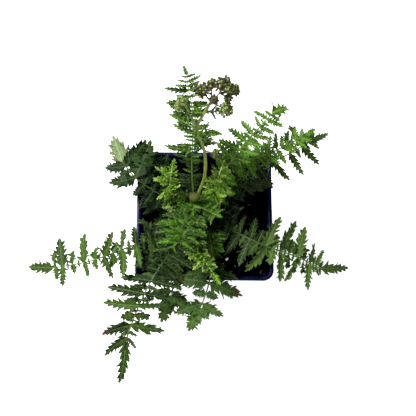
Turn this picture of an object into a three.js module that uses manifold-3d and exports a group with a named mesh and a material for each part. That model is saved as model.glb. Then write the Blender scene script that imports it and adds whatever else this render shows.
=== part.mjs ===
// A young fern-leaved meadowsweet with its first flower buds, in a square nursery pot.
// Millimetres, +Z up. The origin is the centre of the pot's base, on the surface it stands on;
// +X points to the right and +Y to the back of the plant as it is seen from above.
import * as THREE from "three";
import Module from "manifold-3d";
import { mergeVertices } from "three/addons/utils/BufferGeometryUtils.js";

const wasm = await Module();
wasm.setup();

// Driving dimensions
const POT_HEIGHT = 88;
const RIM_WIDTH = 90;
const BASE_WIDTH = 64;
const WALL = 1.4;
const BAND_HEIGHT = 9;
const BAND_PROUD = 1.5;
const RIM_CORNER = 7;
const BASE_CORNER = 5;
const SIDE_BOW = 0.3;
const SQUEEZE = 1.5;
const DRAIN_RADIUS = 4;
const DRAIN_OFFSET = 19;
const SOIL_TOP = 76;
const SOIL_LUMPS = 1.1;
const CLEARANCE = 0.4;
const SUNK = 9;
const BLADE = 0.7;
const PETIOLE_HOLE = 2.5;
const STUMP_RADIUS = 2.4;
const BUD_RADIUS = 0.9;

const UP = new THREE.Vector3(0, 0, 1);
const vector = ([x, y, z]) => new THREE.Vector3(x, y, z);
const radians = THREE.MathUtils.degToRad;
const lerp = THREE.MathUtils.lerp;

// Repeatable numbers from 0 to 1.
function seeded(seed) {
  let state = seed;
  return () => {
    state = (state * 16807) % 2147483647;
    return state / 2147483647;
  };
}

// Surfaces

// A closed surface under construction. Its triangles turn anticlockwise seen from outside.
class Surface {
  points = [];
  faces = [];

  point(v) {
    this.points.push(v.x, v.y, v.z);
    return this.points.length / 3 - 1;
  }

  // The upper and lower point of a blade's edge.
  edge(centre, normal, halfThickness) {
    return {
      top: this.point(centre.clone().addScaledVector(normal, halfThickness)),
      bottom: this.point(centre.clone().addScaledVector(normal, -halfThickness)),
    };
  }

  triangle(a, b, c) {
    this.faces.push(a, b, c);
  }

  quad(a, b, c, d) {
    this.triangle(a, b, c);
    this.triangle(a, c, d);
  }

  // The same face on the top of a blade and, turned over, on its underside.
  bladeFace(a, b, c) {
    this.triangle(a.top, b.top, c.top);
    this.triangle(c.bottom, b.bottom, a.bottom);
  }

  // The narrow wall of a blade between two neighbours of its outline.
  bladeWall(a, b) {
    this.quad(a.bottom, b.bottom, b.top, a.top);
  }

  solid() {
    return new wasm.Manifold(
      new wasm.Mesh({
        numProp: 3,
        vertProperties: new Float32Array(this.points),
        triVerts: new Uint32Array(this.faces),
      }),
    );
  }
}

// A three.js geometry as a solid.
function solidOf(geometry) {
  const bare = geometry.clone();
  bare.deleteAttribute("normal");
  bare.deleteAttribute("uv");
  const merged = mergeVertices(bare, 1e-4);
  return new wasm.Manifold(
    new wasm.Mesh({
      numProp: 3,
      vertProperties: new Float32Array(merged.attributes.position.array),
      triVerts: new Uint32Array(merged.index.array),
    }),
  );
}

function geometryOf(solid) {
  const { numProp, numVert, vertProperties, triVerts } = solid.getMesh();
  const position = new Float32Array(numVert * 3);
  for (let i = 0; i < numVert; i++)
    position.set(vertProperties.subarray(i * numProp, i * numProp + 3), i * 3);
  const geometry = new THREE.BufferGeometry();
  geometry.setAttribute("position", new THREE.BufferAttribute(position, 3));
  geometry.setIndex(new THREE.BufferAttribute(triVerts, 1));
  geometry.computeVertexNormals();
  return geometry;
}

const joined = (solids) => solids.reduce((all, next) => all.add(next));

// A skin of rings, each a list of points, closed with a fan at its first and its last ring's middle.
function loft(rings) {
  const surface = new Surface();
  const middle = (ring) =>
    ring.reduce((sum, p) => sum.add(p), new THREE.Vector3()).divideScalar(ring.length);
  const rows = rings.map((ring) => ring.map((p) => surface.point(p)));
  const count = rows[0].length;
  const first = surface.point(middle(rings[0]));
  const last = surface.point(middle(rings.at(-1)));
  for (let i = 0; i < count; i++) {
    const j = (i + 1) % count;
    surface.triangle(first, rows[0][j], rows[0][i]);
    for (let k = 0; k + 1 < rows.length; k++)
      surface.quad(rows[k][i], rows[k][j], rows[k + 1][j], rows[k + 1][i]);
    surface.triangle(last, rows.at(-1)[i], rows.at(-1)[j]);
  }
  return surface.solid();
}

// A round stalk along a curve, tapering from one radius to the other.
function stalk(curve, startRadius, endRadius, steps, sides = 6) {
  const rings = [];
  for (let k = 0; k <= steps; k++) {
    const u = k / steps;
    const centre = curve.getPointAt(u);
    const { right, normal } = frameAt(curve, u);
    const radius = lerp(startRadius, endRadius, u);
    rings.push(
      Array.from({ length: sides }, (_, i) => {
        const angle = (2 * Math.PI * i) / sides;
        return centre
          .clone()
          .addScaledVector(right, radius * Math.sin(angle))
          .addScaledVector(normal, -radius * Math.cos(angle));
      }),
    );
  }
  return loft(rings.map((ring) => ring.reverse()));
}

// Pot

// A rounded square, a little squeezed from front to back, whose sides bow inwards. Its points run
// anticlockwise from above.
function potRing(halfWidth, corner, height) {
  const CORNER_STEPS = 3;
  const SIDE_STEPS = 3;
  const halfDepth = halfWidth - SQUEEZE;
  const ring = [];
  for (let side = 0; side < 4; side++) {
    const turn = (side * Math.PI) / 2;
    const [out, along] = side % 2 ? [halfDepth, halfWidth] : [halfWidth, halfDepth];
    const place = (x, y) =>
      new THREE.Vector3(
        x * Math.cos(turn) - y * Math.sin(turn),
        x * Math.sin(turn) + y * Math.cos(turn),
        height,
      );
    for (let k = 1; k < SIDE_STEPS; k++) {
      const share = (2 * k) / SIDE_STEPS - 1;
      ring.push(place(out - SIDE_BOW * (1 - share * share), (along - corner) * share));
    }
    for (let k = 0; k <= CORNER_STEPS; k++) {
      const angle = (Math.PI / 2) * (k / CORNER_STEPS);
      ring.push(
        place(out - corner + corner * Math.cos(angle), along - corner + corner * Math.sin(angle)),
      );
    }
  }
  return ring;
}

// Half the wall's outer width and its corner radius at a height, below the rim band.
function wallAt(height) {
  const u = height / POT_HEIGHT;
  return {
    half: lerp(BASE_WIDTH / 2, RIM_WIDTH / 2 - BAND_PROUD, u),
    corner: lerp(BASE_CORNER, RIM_CORNER - BAND_PROUD, u),
  };
}

function innerRing(height, inset = WALL) {
  const { half, corner } = wallAt(height);
  return potRing(half - inset, corner - inset, height);
}

function outerRing(height, proud = 0) {
  const { half, corner } = wallAt(height);
  return potRing(half + proud, corner + proud, height);
}

// The pot: a tapering shell with a band round its rim, its edges bevelled, and a drain hole near each
// corner of its base.
function pot() {
  const FOOT_BEVEL = 0.8;
  const RIM_BEVEL = 0.7;
  const BAND_SLOPE = 1;
  const INNER_BEVEL = 1;
  const bandFoot = POT_HEIGHT - BAND_HEIGHT;
  const shell = loft([
    outerRing(0, -FOOT_BEVEL),
    outerRing(FOOT_BEVEL),
    outerRing(bandFoot - BAND_SLOPE),
    outerRing(bandFoot, BAND_PROUD),
    outerRing(POT_HEIGHT - RIM_BEVEL, BAND_PROUD),
    outerRing(POT_HEIGHT, BAND_PROUD - RIM_BEVEL),
    innerRing(POT_HEIGHT, WALL - RIM_BEVEL),
    innerRing(POT_HEIGHT - RIM_BEVEL),
    innerRing(WALL + INNER_BEVEL),
    innerRing(WALL, WALL + INNER_BEVEL),
  ]);
  const drains = [];
  for (const x of [-DRAIN_OFFSET, DRAIN_OFFSET])
    for (const y of [-DRAIN_OFFSET, DRAIN_OFFSET]) {
      const drain = new THREE.CylinderGeometry(DRAIN_RADIUS, DRAIN_RADIUS, 4 * WALL, 8);
      drain.rotateX(Math.PI / 2).translate(x, y, WALL / 2);
      drains.push(solidOf(drain));
    }
  return shell.subtract(joined(drains));
}

// Soil

// The lumps of the soil's surface above its mean level.
function lumps(x, y) {
  return (
    SOIL_LUMPS *
    (0.5 * Math.sin(0.31 * x + 1.1) * Math.cos(0.27 * y) +
      0.35 * Math.sin(0.62 * x - 0.45 * y) +
      0.25 * Math.cos(0.9 * y + 0.5 * x + 2))
  );
}

// The soil: it fills the pot with a small clearance, rises a little to the crown, and has the holes
// that the stems stand in.
function soil(holes) {
  const SHARES = [0.94, 0.66, 0.36];
  const CROWN_RISE = 2;
  const EDGE_DROP = 1.5;
  const FOOT_BEVEL = 1;
  const gap = WALL + CLEARANCE;
  const edge = innerRing(SOIL_TOP, gap);
  const top = SHARES.map((share) =>
    edge.map((p) => {
      const [x, y] = [p.x * share, p.y * share];
      return new THREE.Vector3(x, y, SOIL_TOP + lumps(x, y) + CROWN_RISE * (1 - share));
    }),
  );
  const body = loft([
    innerRing(gap, gap + FOOT_BEVEL),
    innerRing(gap + FOOT_BEVEL, gap),
    innerRing(SOIL_TOP - EDGE_DROP, gap),
    ...top,
  ]);
  return body.subtract(joined(holes));
}

// Leaves

// The frame of a leaf at a share of its spine: ahead, to the right, and out of its upper face.
function frameAt(curve, u) {
  const HEADING_WEIGHT = 0.4;
  const ahead = curve.getTangentAt(u);
  const heading = curve.getPointAt(1).sub(curve.getPointAt(0)).setZ(0);
  if (heading.lengthSq() < 1) heading.set(1, 0, 0);
  const flat = ahead.clone().setZ(0).addScaledVector(heading.normalize(), HEADING_WEIGHT);
  const right = flat.cross(UP);
  right.addScaledVector(ahead, -right.dot(ahead)).normalize();
  const normal = right.clone().cross(ahead);
  return { ahead, right, normal };
}

// A toothed leaflet, grown from the two edge points of its root. It reaches from the point root along
// direction, arches down by droop and bends to its own right by sweep, as shares of its length. Its
// teeth lean forward: each rises from one notch of the edge and ends just past the next.
function leaflet(surface, rightRoot, leftRoot, root, direction, normal, plan) {
  const { length, teeth, width, droop = 0, sweep = 0, firstNotch = 0.32 } = plan;
  const LONE_NOTCH = 0.5;
  const LAST_NOTCH = 0.8;
  const TOOTH_LEAN = 0.07;
  const TOOTH_REACH = 1.8;
  const ARCH_SHORTENING = 0.3;
  const FULLNESS = 1.1;
  const TAPER = 0.7;
  const across = direction.clone().cross(normal).normalize();
  const out = across.clone().cross(direction);
  const at = (u, v) =>
    root
      .clone()
      .addScaledVector(direction, u * length * (1 - ARCH_SHORTENING * Math.abs(droop) * u * u))
      .addScaledVector(out, -droop * length * u * u)
      .addScaledVector(across, (v + sweep * u * u) * length);
  const swell = (u) => FULLNESS * width * Math.pow(1 - u, TAPER);
  const edge = (u, v) => surface.edge(at(u, v), out, BLADE / 2);
  const right = [rightRoot];
  const left = [leftRoot];
  const rightTeeth = [];
  const leftTeeth = [];
  for (let k = 0; k < teeth; k++) {
    const notch = teeth > 1 ? lerp(firstNotch, LAST_NOTCH, k / (teeth - 1)) : LONE_NOTCH;
    const point = notch + TOOTH_LEAN;
    rightTeeth.push(edge(point, TOOTH_REACH * swell(point)));
    leftTeeth.push(edge(point, -TOOTH_REACH * swell(point)));
    right.push(edge(notch, swell(notch)));
    left.push(edge(notch, -swell(notch)));
  }
  const tip = edge(1, 0);
  for (let k = 0; k < teeth; k++) {
    surface.bladeFace(right[k], right[k + 1], left[k + 1]);
    surface.bladeFace(right[k], left[k + 1], left[k]);
    surface.bladeFace(right[k], rightTeeth[k], right[k + 1]);
    surface.bladeFace(left[k + 1], leftTeeth[k], left[k]);
  }
  surface.bladeFace(right[teeth], tip, left[teeth]);
  const rim = [];
  for (let k = 0; k < teeth; k++) rim.push(right[k], rightTeeth[k]);
  rim.push(right[teeth], tip, left[teeth]);
  for (let k = teeth - 1; k >= 0; k--) rim.push(leftTeeth[k], left[k]);
  for (let k = 0; k + 1 < rim.length; k++) surface.bladeWall(rim[k], rim[k + 1]);
}

// The small leaflets between two pairs are this share of a leaflet's length, no longer than this, so
// many times as broad for their length, and grow only where the pairs stand at least so far apart.
const SPUR_SHARE = 0.34;
const LONGEST_SPUR = 7;
const SPUR_BREADTH = 1.8;
const SPUR_ROOM = 9.5;

// How a kind of leaf holds its leaflets. Width is half a leaflet's breadth between its teeth, as a
// share of its length, and tipWidth that of the leaflet at the leaf's tip; spread is the leaflets'
// angle from the spine at the leaf's base and at its tip; rise is their angle above the leaf's plane,
// and face is how far they turn their upper side to the sky; loose is how far their angles wander, and
// twist how far they roll. Droop, sweep and firstNotch are those of a leaflet. Spurs are the teeth of
// the small leaflets between the pairs, from is where on the spine the leaflets start, foot is the
// length of their roots, and lengths are the shares of full length that they have at the leaf's base
// and at its tip.
const habits = {
  mature: {
    width: 0.1, teeth: 3, spread: [88, 74], rise: 0, droop: 0.14, sweep: 0.08, face: 0, loose: 10,
    twist: 26, from: 0.3, firstNotch: 0.22, spurs: 1, foot: 1.6, lengths: [0.8, 0.75],
  },
  close: {
    width: 0.1, teeth: 2, spread: [84, 60], rise: 3, droop: 0.1, sweep: 0.06, face: 0.4, loose: 6,
    twist: 20, from: 0.3, spurs: 0, foot: 1.5, lengths: [0.8, 0.7],
  },
  broad: {
    width: 0.15, tipWidth: 0.24, teeth: 3, spread: [84, 62], rise: 0, droop: 0.16, sweep: 0.05,
    face: 0, loose: 12, twist: 14, from: 0.5, firstNotch: 0.24, spurs: 0, foot: 2.4, lengths: [0.9, 0.8],
  },
  young: {
    width: 0.14, teeth: 2, spread: [80, 56], rise: 12, droop: -0.08, sweep: 0.1, face: 0.6, loose: 6,
    twist: 20, from: 0.42, spurs: 0, foot: 1.3, lengths: [0.7, 0.6],
  },
};

// A leaf's spine: its route, lengthened down into the soil if it stands there.
function spineOf({ route, rooted = true }) {
  const points = route.map(vector);
  if (rooted) points.unshift(footOf(points));
  return new THREE.CatmullRomCurve3(points, false, "centripetal");
}

// The lower end of a stem: it stands steeper in the soil than it leaves it.
function footOf([start, second]) {
  const rise = second.clone().sub(start).normalize().add(UP).normalize();
  return start.clone().addScaledVector(rise, -SUNK);
}

// The pairs of leaflets of a regular leaf: evenly spaced, and longest in the leaf's middle. What it
// gives for each pair is what a measured leaf has in its list: the share of the spine at which the pair
// stands, then the length and the angle of the right leaflet and of the left one.
function evenPairs({ pairs, longest }, { from, lengths, spread }) {
  const FIRST = 0.35;
  const LAST = 0.95;
  return Array.from({ length: pairs }, (_, k) => {
    const v = (k + FIRST) / (pairs - 1 + FIRST + LAST);
    const share = lerp(lengths[v < 0.5 ? 0 : 1], 1, Math.sin(Math.PI * v));
    const angle = lerp(...spread, v);
    return [lerp(from, 1, v), longest[0] * share, angle, longest[1] * share, angle];
  });
}

// The stations of a leaf's spine, and what grows from the stretch after each.
function stationsOf(total, pairs, { foot, spurs }) {
  const PETIOLE_STEPS = 5;
  const stations = [];
  const halfFoot = foot / 2 / total;
  const first = pairs[0][0] - 2 * halfFoot;
  for (let k = 0; k < PETIOLE_STEPS; k++) stations.push({ u: (first * k) / PETIOLE_STEPS });
  pairs.forEach((pair, k) => {
    const [middle, ...sides] = pair;
    stations.push({ u: middle - halfFoot, sides }, { u: middle + halfFoot });
    const next = pairs[k + 1];
    if (!spurs || !next || (next[0] - middle) * total < SPUR_ROOM) return;
    const [between, ...mean] = pair.map((value, i) => (value + next[i]) / 2);
    stations.push({ u: between - halfFoot / 2, sides: mean, spur: true });
    stations.push({ u: between + halfFoot / 2 });
  });
  stations.push({ u: 1 });
  return stations;
}

// A whole leaf: a stalk of four sides that carries pairs of toothed leaflets and one at its tip.
function leaf(plan) {
  const HALF_WIDTHS = [1.05, 0.5];
  const HALF_THICKNESSES = [0.95, BLADE / 2];
  const LENGTH_STRAY = 0.1;
  const { tip, turn = 0, bend = 0, thick = 1, seed } = plan;
  const habit = { ...habits[plan.habit], ...plan.change };
  const curve = spineOf(plan);
  const random = seeded(seed);
  const stray = (amount) => radians(amount * (random() - 0.5));
  const surface = new Surface();
  const pairs = plan.leaflets ?? evenPairs(plan, habit);
  const rows = stationsOf(curve.getLength(), pairs, habit).map(({ u, sides, spur }) => {
    const frame = frameAt(curve, u);
    const centre = curve.getPointAt(u);
    const halfWidth = lerp(...HALF_WIDTHS, Math.sqrt(u)) * thick;
    const halfThickness = lerp(...HALF_THICKNESSES, Math.sqrt(u)) * thick;
    const side = (sign) =>
      surface.edge(
        centre.clone().addScaledVector(frame.right, sign * halfWidth),
        frame.normal,
        halfThickness,
      );
    return { sides, spur, centre, frame, right: side(1), left: side(-1) };
  });
  const foot = rows[0];
  surface.quad(foot.left.top, foot.left.bottom, foot.right.bottom, foot.right.top);
  for (let k = 0; k + 1 < rows.length; k++) {
    const [a, b] = [rows[k], rows[k + 1]];
    surface.bladeFace(a.right, b.right, b.left);
    surface.bladeFace(a.right, b.left, a.left);
    if (!a.sides) {
      surface.bladeWall(a.right, b.right);
      surface.bladeWall(b.left, a.left);
      continue;
    }
    const { ahead, right, normal } = a.frame;
    const middle = a.centre.clone().lerp(b.centre, 0.5);
    const [rightLength, rightAngle, leftLength, leftAngle] = a.sides;
    for (const [sign, length, angle] of [[1, rightLength, rightAngle], [-1, leftLength, leftAngle]]) {
      const spread = radians(angle) + stray(plan.leaflets ? 0 : habit.loose);
      const rise = radians(habit.rise) + stray(habit.loose);
      const direction = ahead
        .clone()
        .multiplyScalar(Math.cos(spread) * Math.cos(rise))
        .addScaledVector(right, sign * Math.sin(spread) * Math.cos(rise))
        .addScaledVector(normal, Math.sin(rise));
      const upper = normal.clone().lerp(UP, habit.face);
      upper.addScaledVector(direction, -upper.dot(direction)).normalize();
      upper.applyAxisAngle(direction, stray(habit.twist));
      const full = length * (plan.leaflets ? 1 : 1 + LENGTH_STRAY * (2 * random() - 1));
      leaflet(
        surface,
        sign > 0 ? a.right : b.left,
        sign > 0 ? b.right : a.left,
        middle,
        direction,
        upper,
        {
          length: a.spur ? Math.min(full * SPUR_SHARE, LONGEST_SPUR) : full,
          width: habit.width * (a.spur ? SPUR_BREADTH : 1),
          teeth: a.spur ? habit.spurs : habit.teeth,
          droop: habit.droop,
          sweep: -sign * habit.sweep,
          firstNotch: habit.firstNotch,
        },
      );
    }
  }
  const end = rows.at(-1);
  const { ahead, normal } = end.frame;
  const onward = ahead.clone().applyAxisAngle(normal, radians(-turn));
  leaflet(surface, end.right, end.left, end.centre, onward, normal, {
    length: tip,
    width: habit.tipWidth ?? habit.width,
    teeth: Math.max(2, habit.teeth),
    droop: habit.droop,
    sweep: bend,
  });
  return surface.solid();
}

// The leaves that stand in the soil. A route runs from the soil's surface to the root of the tip
// leaflet, which has the length tip, turns to the right by turn degrees and bends to the right by
// bend, a share of its length. A measured leaf lists its pairs in leaflets, as evenPairs gives them;
// a regular one has a number of pairs and the longest length to the right and to the left.
const S = SOIL_TOP;
const leafPlans = [
  {
    name: "leaf_east",
    route: [
      [8, -6, S], [11.5, -10, 100], [28.5, -20, 109], [38, -24.5, 110], [58, -30.5, 104],
      [74.5, -37, 96],
    ],
    leaflets: [
      [0.385, 10, 96, 11, 110], [0.45, 17, 104, 14, 116], [0.52, 19, 92, 17, 106],
      [0.62, 21, 106, 22, 92], [0.71, 20, 76, 23, 84], [0.82, 18, 96, 22, 98],
      [0.91, 18, 74, 14, 98], [0.955, 7, 60, 13, 88],
    ],
    habit: "mature", tip: 24, turn: -24, seed: 11,
  },
  {
    name: "leaf_west",
    route: [
      [-14, -5.5, S], [-28, -17, 103], [-42, -23.5, 110], [-50.5, -27, 111], [-70.5, -33.5, 107],
      [-96.5, -36.5, 96],
    ],
    leaflets: [
      [0.42, 13, 100, 12, 80], [0.5, 13, 106, 15, 78], [0.58, 14, 116, 17, 86],
      [0.68, 17, 136, 15, 98], [0.795, 19, 90, 10, 104], [0.93, 20, 84, 13, 88],
    ],
    habit: "mature", tip: 22, turn: 12, seed: 23,
  },
  {
    name: "leaf_southwest",
    route: [
      [-11, -10.5, S], [-24.5, -32, 103], [-35, -50, 106], [-40, -60.5, 104], [-45, -72, 99],
      [-49, -84, 95],
    ],
    leaflets: [
      [0.52, 16, 76, 14, 104], [0.59, 21, 66, 18, 108], [0.675, 25, 74, 17, 108],
      [0.75, 24, 70, 18, 116], [0.875, 24, 56, 22, 94], [0.955, 20, 46, 10, 60],
    ],
    habit: "mature", tip: 28, turn: -16, bend: 0.16, seed: 37,
  },
  {
    name: "leaf_south",
    route: [[-5.5, -13, S], [-9.5, -21, 86], [-16, -35, 91], [-19, -45.5, 92], [-22, -55.5, 91]],
    leaflets: [[0.77, 16, 80, 17, 92], [0.91, 15, 64, 19, 64]],
    habit: "broad", tip: 18, turn: 4, seed: 41,
  },
  {
    name: "leaf_southeast",
    route: [[2, -12.5, S], [4.5, -32, 92], [3, -46, 99], [-0.5, -57, 98], [-4, -64, 96]],
    leaflets: [[0.72, 26, 94, 24, 85], [0.91, 20, 54, 17, 80]],
    habit: "broad", tip: 16, seed: 53,
  },
  {
    name: "leaf_northeast",
    route: [[1, 9.5, S], [11, 17, 124], [23.5, 30.5, 143], [32, 40, 143], [41.5, 51.5, 140]],
    leaflets: [
      [0.6, 10, 64, 14, 104], [0.66, 11, 62, 15, 104], [0.715, 12, 72, 15, 98],
      [0.77, 11, 74, 14, 86], [0.82, 11, 68, 12, 82], [0.88, 10, 80, 8, 68], [0.945, 11, 88, 10, 88],
    ],
    habit: "close", tip: 11, turn: 22, seed: 61,
  },
  {
    name: "leaf_northeast_fine",
    route: [[4.5, 5.5, S], [17.5, 26, 112], [35.5, 29, 124], [48.5, 34, 127], [61.5, 41, 126]],
    habit: "close", pairs: 11, longest: [13, 13], tip: 11, turn: -8, seed: 67, change: { teeth: 1 },
  },
  {
    name: "leaf_east_northeast",
    route: [
      [9, 8, S], [24.5, 21, 107], [42.5, 28.5, 115], [54, 33.5, 115], [62, 39, 113], [69, 43.5, 110],
    ],
    leaflets: [
      [0.4, 15, 80, 15, 98], [0.49, 16, 80, 18, 100], [0.59, 17, 78, 18, 100], [0.685, 17, 78, 15, 90],
      [0.81, 17, 90, 18, 74], [0.91, 17, 88, 18, 86], [0.965, 9, 54, 14, 44],
    ],
    habit: "mature", tip: 18, seed: 71, change: { teeth: 2, spurs: 0 },
  },
  {
    name: "leaf_east_low",
    route: [[12, 3, S], [18.5, 15, 86], [26, 20, 91], [31, 21, 93]],
    leaflets: [[0.74, 10, 104, 11, 96], [0.92, 10, 84, 11, 66]],
    habit: "broad", tip: 14, turn: 26, seed: 83, change: { width: 0.19 },
  },
  {
    name: "leaf_northwest",
    route: [
      [-15, 7, S], [-22, 9, 92], [-35, 14.5, 101], [-45, 21.5, 105], [-49.5, 27, 105], [-53, 32, 104],
    ],
    leaflets: [[0.79, 29, 78, 18, 64], [0.93, 23, 74, 16, 54]],
    habit: "broad", tip: 20, turn: 14, seed: 97,
  },
  {
    name: "leaf_north_low",
    route: [[-8.5, 11.5, S], [-21.5, 23, 90], [-27, 28, 94], [-30, 31, 95]],
    leaflets: [[0.74, 12, 66, 12, 74], [0.9, 13, 62, 11, 60]],
    habit: "broad", tip: 13, turn: 12, seed: 101,
  },
  {
    name: "leaf_west_low",
    route: [[-17.5, 0.5, S], [-25, 3.5, 85], [-31, 6, 89], [-35, 8, 91]],
    leaflets: [[0.66, 10, 80, 10, 84], [0.88, 10, 72, 11, 74]],
    habit: "broad", tip: 11, turn: 34, seed: 113,
  },
  {
    name: "young_northwest",
    route: [[-11, 1.5, S], [-17.5, 4, 105], [-20.5, 9, 124], [-20, 12.5, 137], [-18, 16, 148]],
    habit: "young", pairs: 7, longest: [7, 12], tip: 9, seed: 127,
  },
  {
    name: "young_northeast",
    route: [[5, 0.5, S], [4.5, 7, 104], [6, 9.5, 124], [8.5, 12, 138], [10.5, 15.5, 147]],
    habit: "young", pairs: 7, longest: [11, 7], tip: 8, seed: 131,
  },
  {
    name: "young_south",
    route: [[-2, -7, S], [-4.5, -18.5, 112], [-3.5, -31.5, 130], [2, -40, 136], [6, -45.5, 132]],
    habit: "young", pairs: 7, longest: [9, 7], tip: 8, seed: 151, change: { from: 0.55, teeth: 1 },
  },
  {
    name: "leaf_southwest_fine",
    route: [
      [-8, -4.5, S], [-9.5, -5, 112], [-9.5, -14, 132], [-11, -22, 140], [-14, -27.5, 141],
      [-20, -30.5, 138],
    ],
    leaflets: [
      [0.6, 12, 94, 10, 86], [0.67, 15, 92, 11, 86], [0.74, 16, 84, 12, 90],
      [0.805, 19, 78, 13, 88], [0.86, 17, 70, 12, 94], [0.915, 14, 62, 10, 94],
    ],
    habit: "close", tip: 11, turn: 18, seed: 149, change: { rise: 6 },
  },
  {
    name: "leaf_south_fine",
    route: [[4.5, -9.5, S], [3.5, -12, 98], [4, -21, 112], [5, -30, 115]],
    habit: "close", pairs: 7, longest: [6, 11], tip: 10, seed: 157, change: { from: 0.5, teeth: 1 },
  },
  {
    name: "leaf_centre",
    route: [[0.5, -1.5, S], [1, -2, 103], [3, -5, 118], [8, -9, 128]],
    habit: "close", pairs: 7, longest: [10, 10], tip: 7, seed: 163, change: { from: 0.42, teeth: 1 },
  },
];

// Flowering stem

// The old stem, cut off above its top joint, from which the flowering shoot and a long leaf grow.
const stump = { route: [[-5, 2.5, S], [-6.5, 3, 105], [-6.7, 3, 128]] };
const shoot = [
  [-5.6, 3, 114], [-3.2, 4.5, 130], [0.5, 10.5, 146], [0.5, 18.6, 165], [-2.8, 21.6, 185],
  [-3.4, 23.4, 192], [-0.1, 25.9, 203], [3.9, 29.3, 212],
];
const sideShoot = [[-3.3, 23, 190], [-6.4, 26.2, 203], [-9.2, 28.6, 211]];
const stemLeaf = {
  route: [
    [-6.5, 3, 118], [-7, 15.5, 150], [-6, 31, 166], [-6.5, 42.5, 175], [-8.5, 51, 181], [-9, 57, 183],
  ],
  leaflets: [
    [0.33, 5, 70, 6, 60], [0.41, 7, 76, 8, 76], [0.46, 7, 76, 11, 86], [0.515, 7, 80, 16, 98],
    [0.57, 15, 94, 5, 84], [0.625, 15, 94, 13, 68], [0.705, 7, 82, 14, 72], [0.77, 13, 100, 14, 78],
    [0.82, 10, 94, 15, 80], [0.9, 12, 86, 14, 72], [0.95, 9, 74, 6, 76],
  ],
  rooted: false, habit: "close", tip: 6, turn: -16, thick: 0.8, seed: 173,
  change: { foot: 1.2, twist: 10, width: 0.085 },
};
const bracts = [
  { route: [[-3.2, 22.7, 189], [-8, 25, 192], [-12, 27, 193]], seed: 181 },
  { route: [[-3.2, 22.9, 190], [0.8, 22.9, 191], [4, 22.2, 190]], seed: 191 },
  { route: [[0.8, 26.6, 205], [4.4, 26.6, 206], [7, 27.2, 205]], seed: 193 },
];

// Buds

// Where the twigs to the clumps fork, and each clump's middle, size and fork.
const lowFork = [3.9, 29.3, 212];
const highFork = [8, 31.1, 219];
const sideFork = [-9.2, 28.6, 211];
const axil = [0.9, 19, 166];
const clumps = [
  { name: "bud_clump_left", at: [-0.5, 32.4, 219], radius: 3.7, buds: 12, fork: lowFork, ripe: true },
  { name: "bud_clump_back", at: [4.4, 33.8, 224], radius: 2.4, buds: 8, fork: lowFork, ripe: true },
  { name: "bud_clump_top", at: [9.9, 31.3, 228], radius: 3.6, buds: 12, fork: highFork, ripe: true },
  { name: "bud_clump_right", at: [14.6, 30.7, 223.5], radius: 2.8, buds: 9, fork: highFork, ripe: true },
  { name: "bud_clump_middle", at: [5.3, 28.2, 217.5], radius: 2.3, buds: 7, fork: lowFork, ripe: true },
  { name: "bud_clump_inner", at: [12, 28.9, 218.6], radius: 2.3, buds: 7, fork: highFork, ripe: true },
  { name: "bud_clump_front", at: [10.9, 25, 213.6], radius: 3.4, buds: 11, fork: lowFork, ripe: false },
  { name: "bud_clump_side", at: [-10.4, 28.1, 217], radius: 2.4, buds: 8, fork: sideFork, ripe: false },
  { name: "bud_clump_low", at: [-12, 26.2, 212.5], radius: 2.2, buds: 7, fork: sideFork, ripe: false },
  { name: "bud_clump_axil", at: [6.6, 18.1, 164], radius: 2.7, buds: 8, fork: axil, ripe: false },
];

// Where the twig to a clump ends: just short of the foot of its core.
const coreRadius = (clump) => clump.radius - BUD_RADIUS;
function twigEnd(clump) {
  const middle = vector(clump.at);
  const rise = middle.clone().sub(vector(clump.fork)).normalize();
  return middle.addScaledVector(rise, -(coreRadius(clump) + CLEARANCE));
}

// A dense clump: a small core with round buds standing out of it on every side but its foot.
function budClump(clump) {
  const COVERED = 0.75;
  const middle = vector(clump.at);
  const rise = middle.clone().sub(vector(clump.fork)).normalize();
  const turn = new THREE.Quaternion().setFromUnitVectors(UP, rise);
  const core = new THREE.IcosahedronGeometry(coreRadius(clump), 0);
  const solids = [solidOf(core.applyQuaternion(turn).translate(...middle.toArray()))];
  const golden = Math.PI * (3 - Math.sqrt(5));
  for (let k = 0; k < clump.buds; k++) {
    const height = 1 - (2 * COVERED * (k + 0.5)) / clump.buds;
    const wide = Math.sqrt(1 - height * height);
    const place = new THREE.Vector3(wide * Math.cos(golden * k), wide * Math.sin(golden * k), height)
      .multiplyScalar(clump.radius - BUD_RADIUS)
      .applyQuaternion(turn)
      .add(middle);
    const bud = new THREE.OctahedronGeometry(BUD_RADIUS);
    solids.push(solidOf(bud.rotateX(k).rotateZ(2 * k).translate(...place.toArray())));
  }
  return joined(solids);
}

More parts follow.
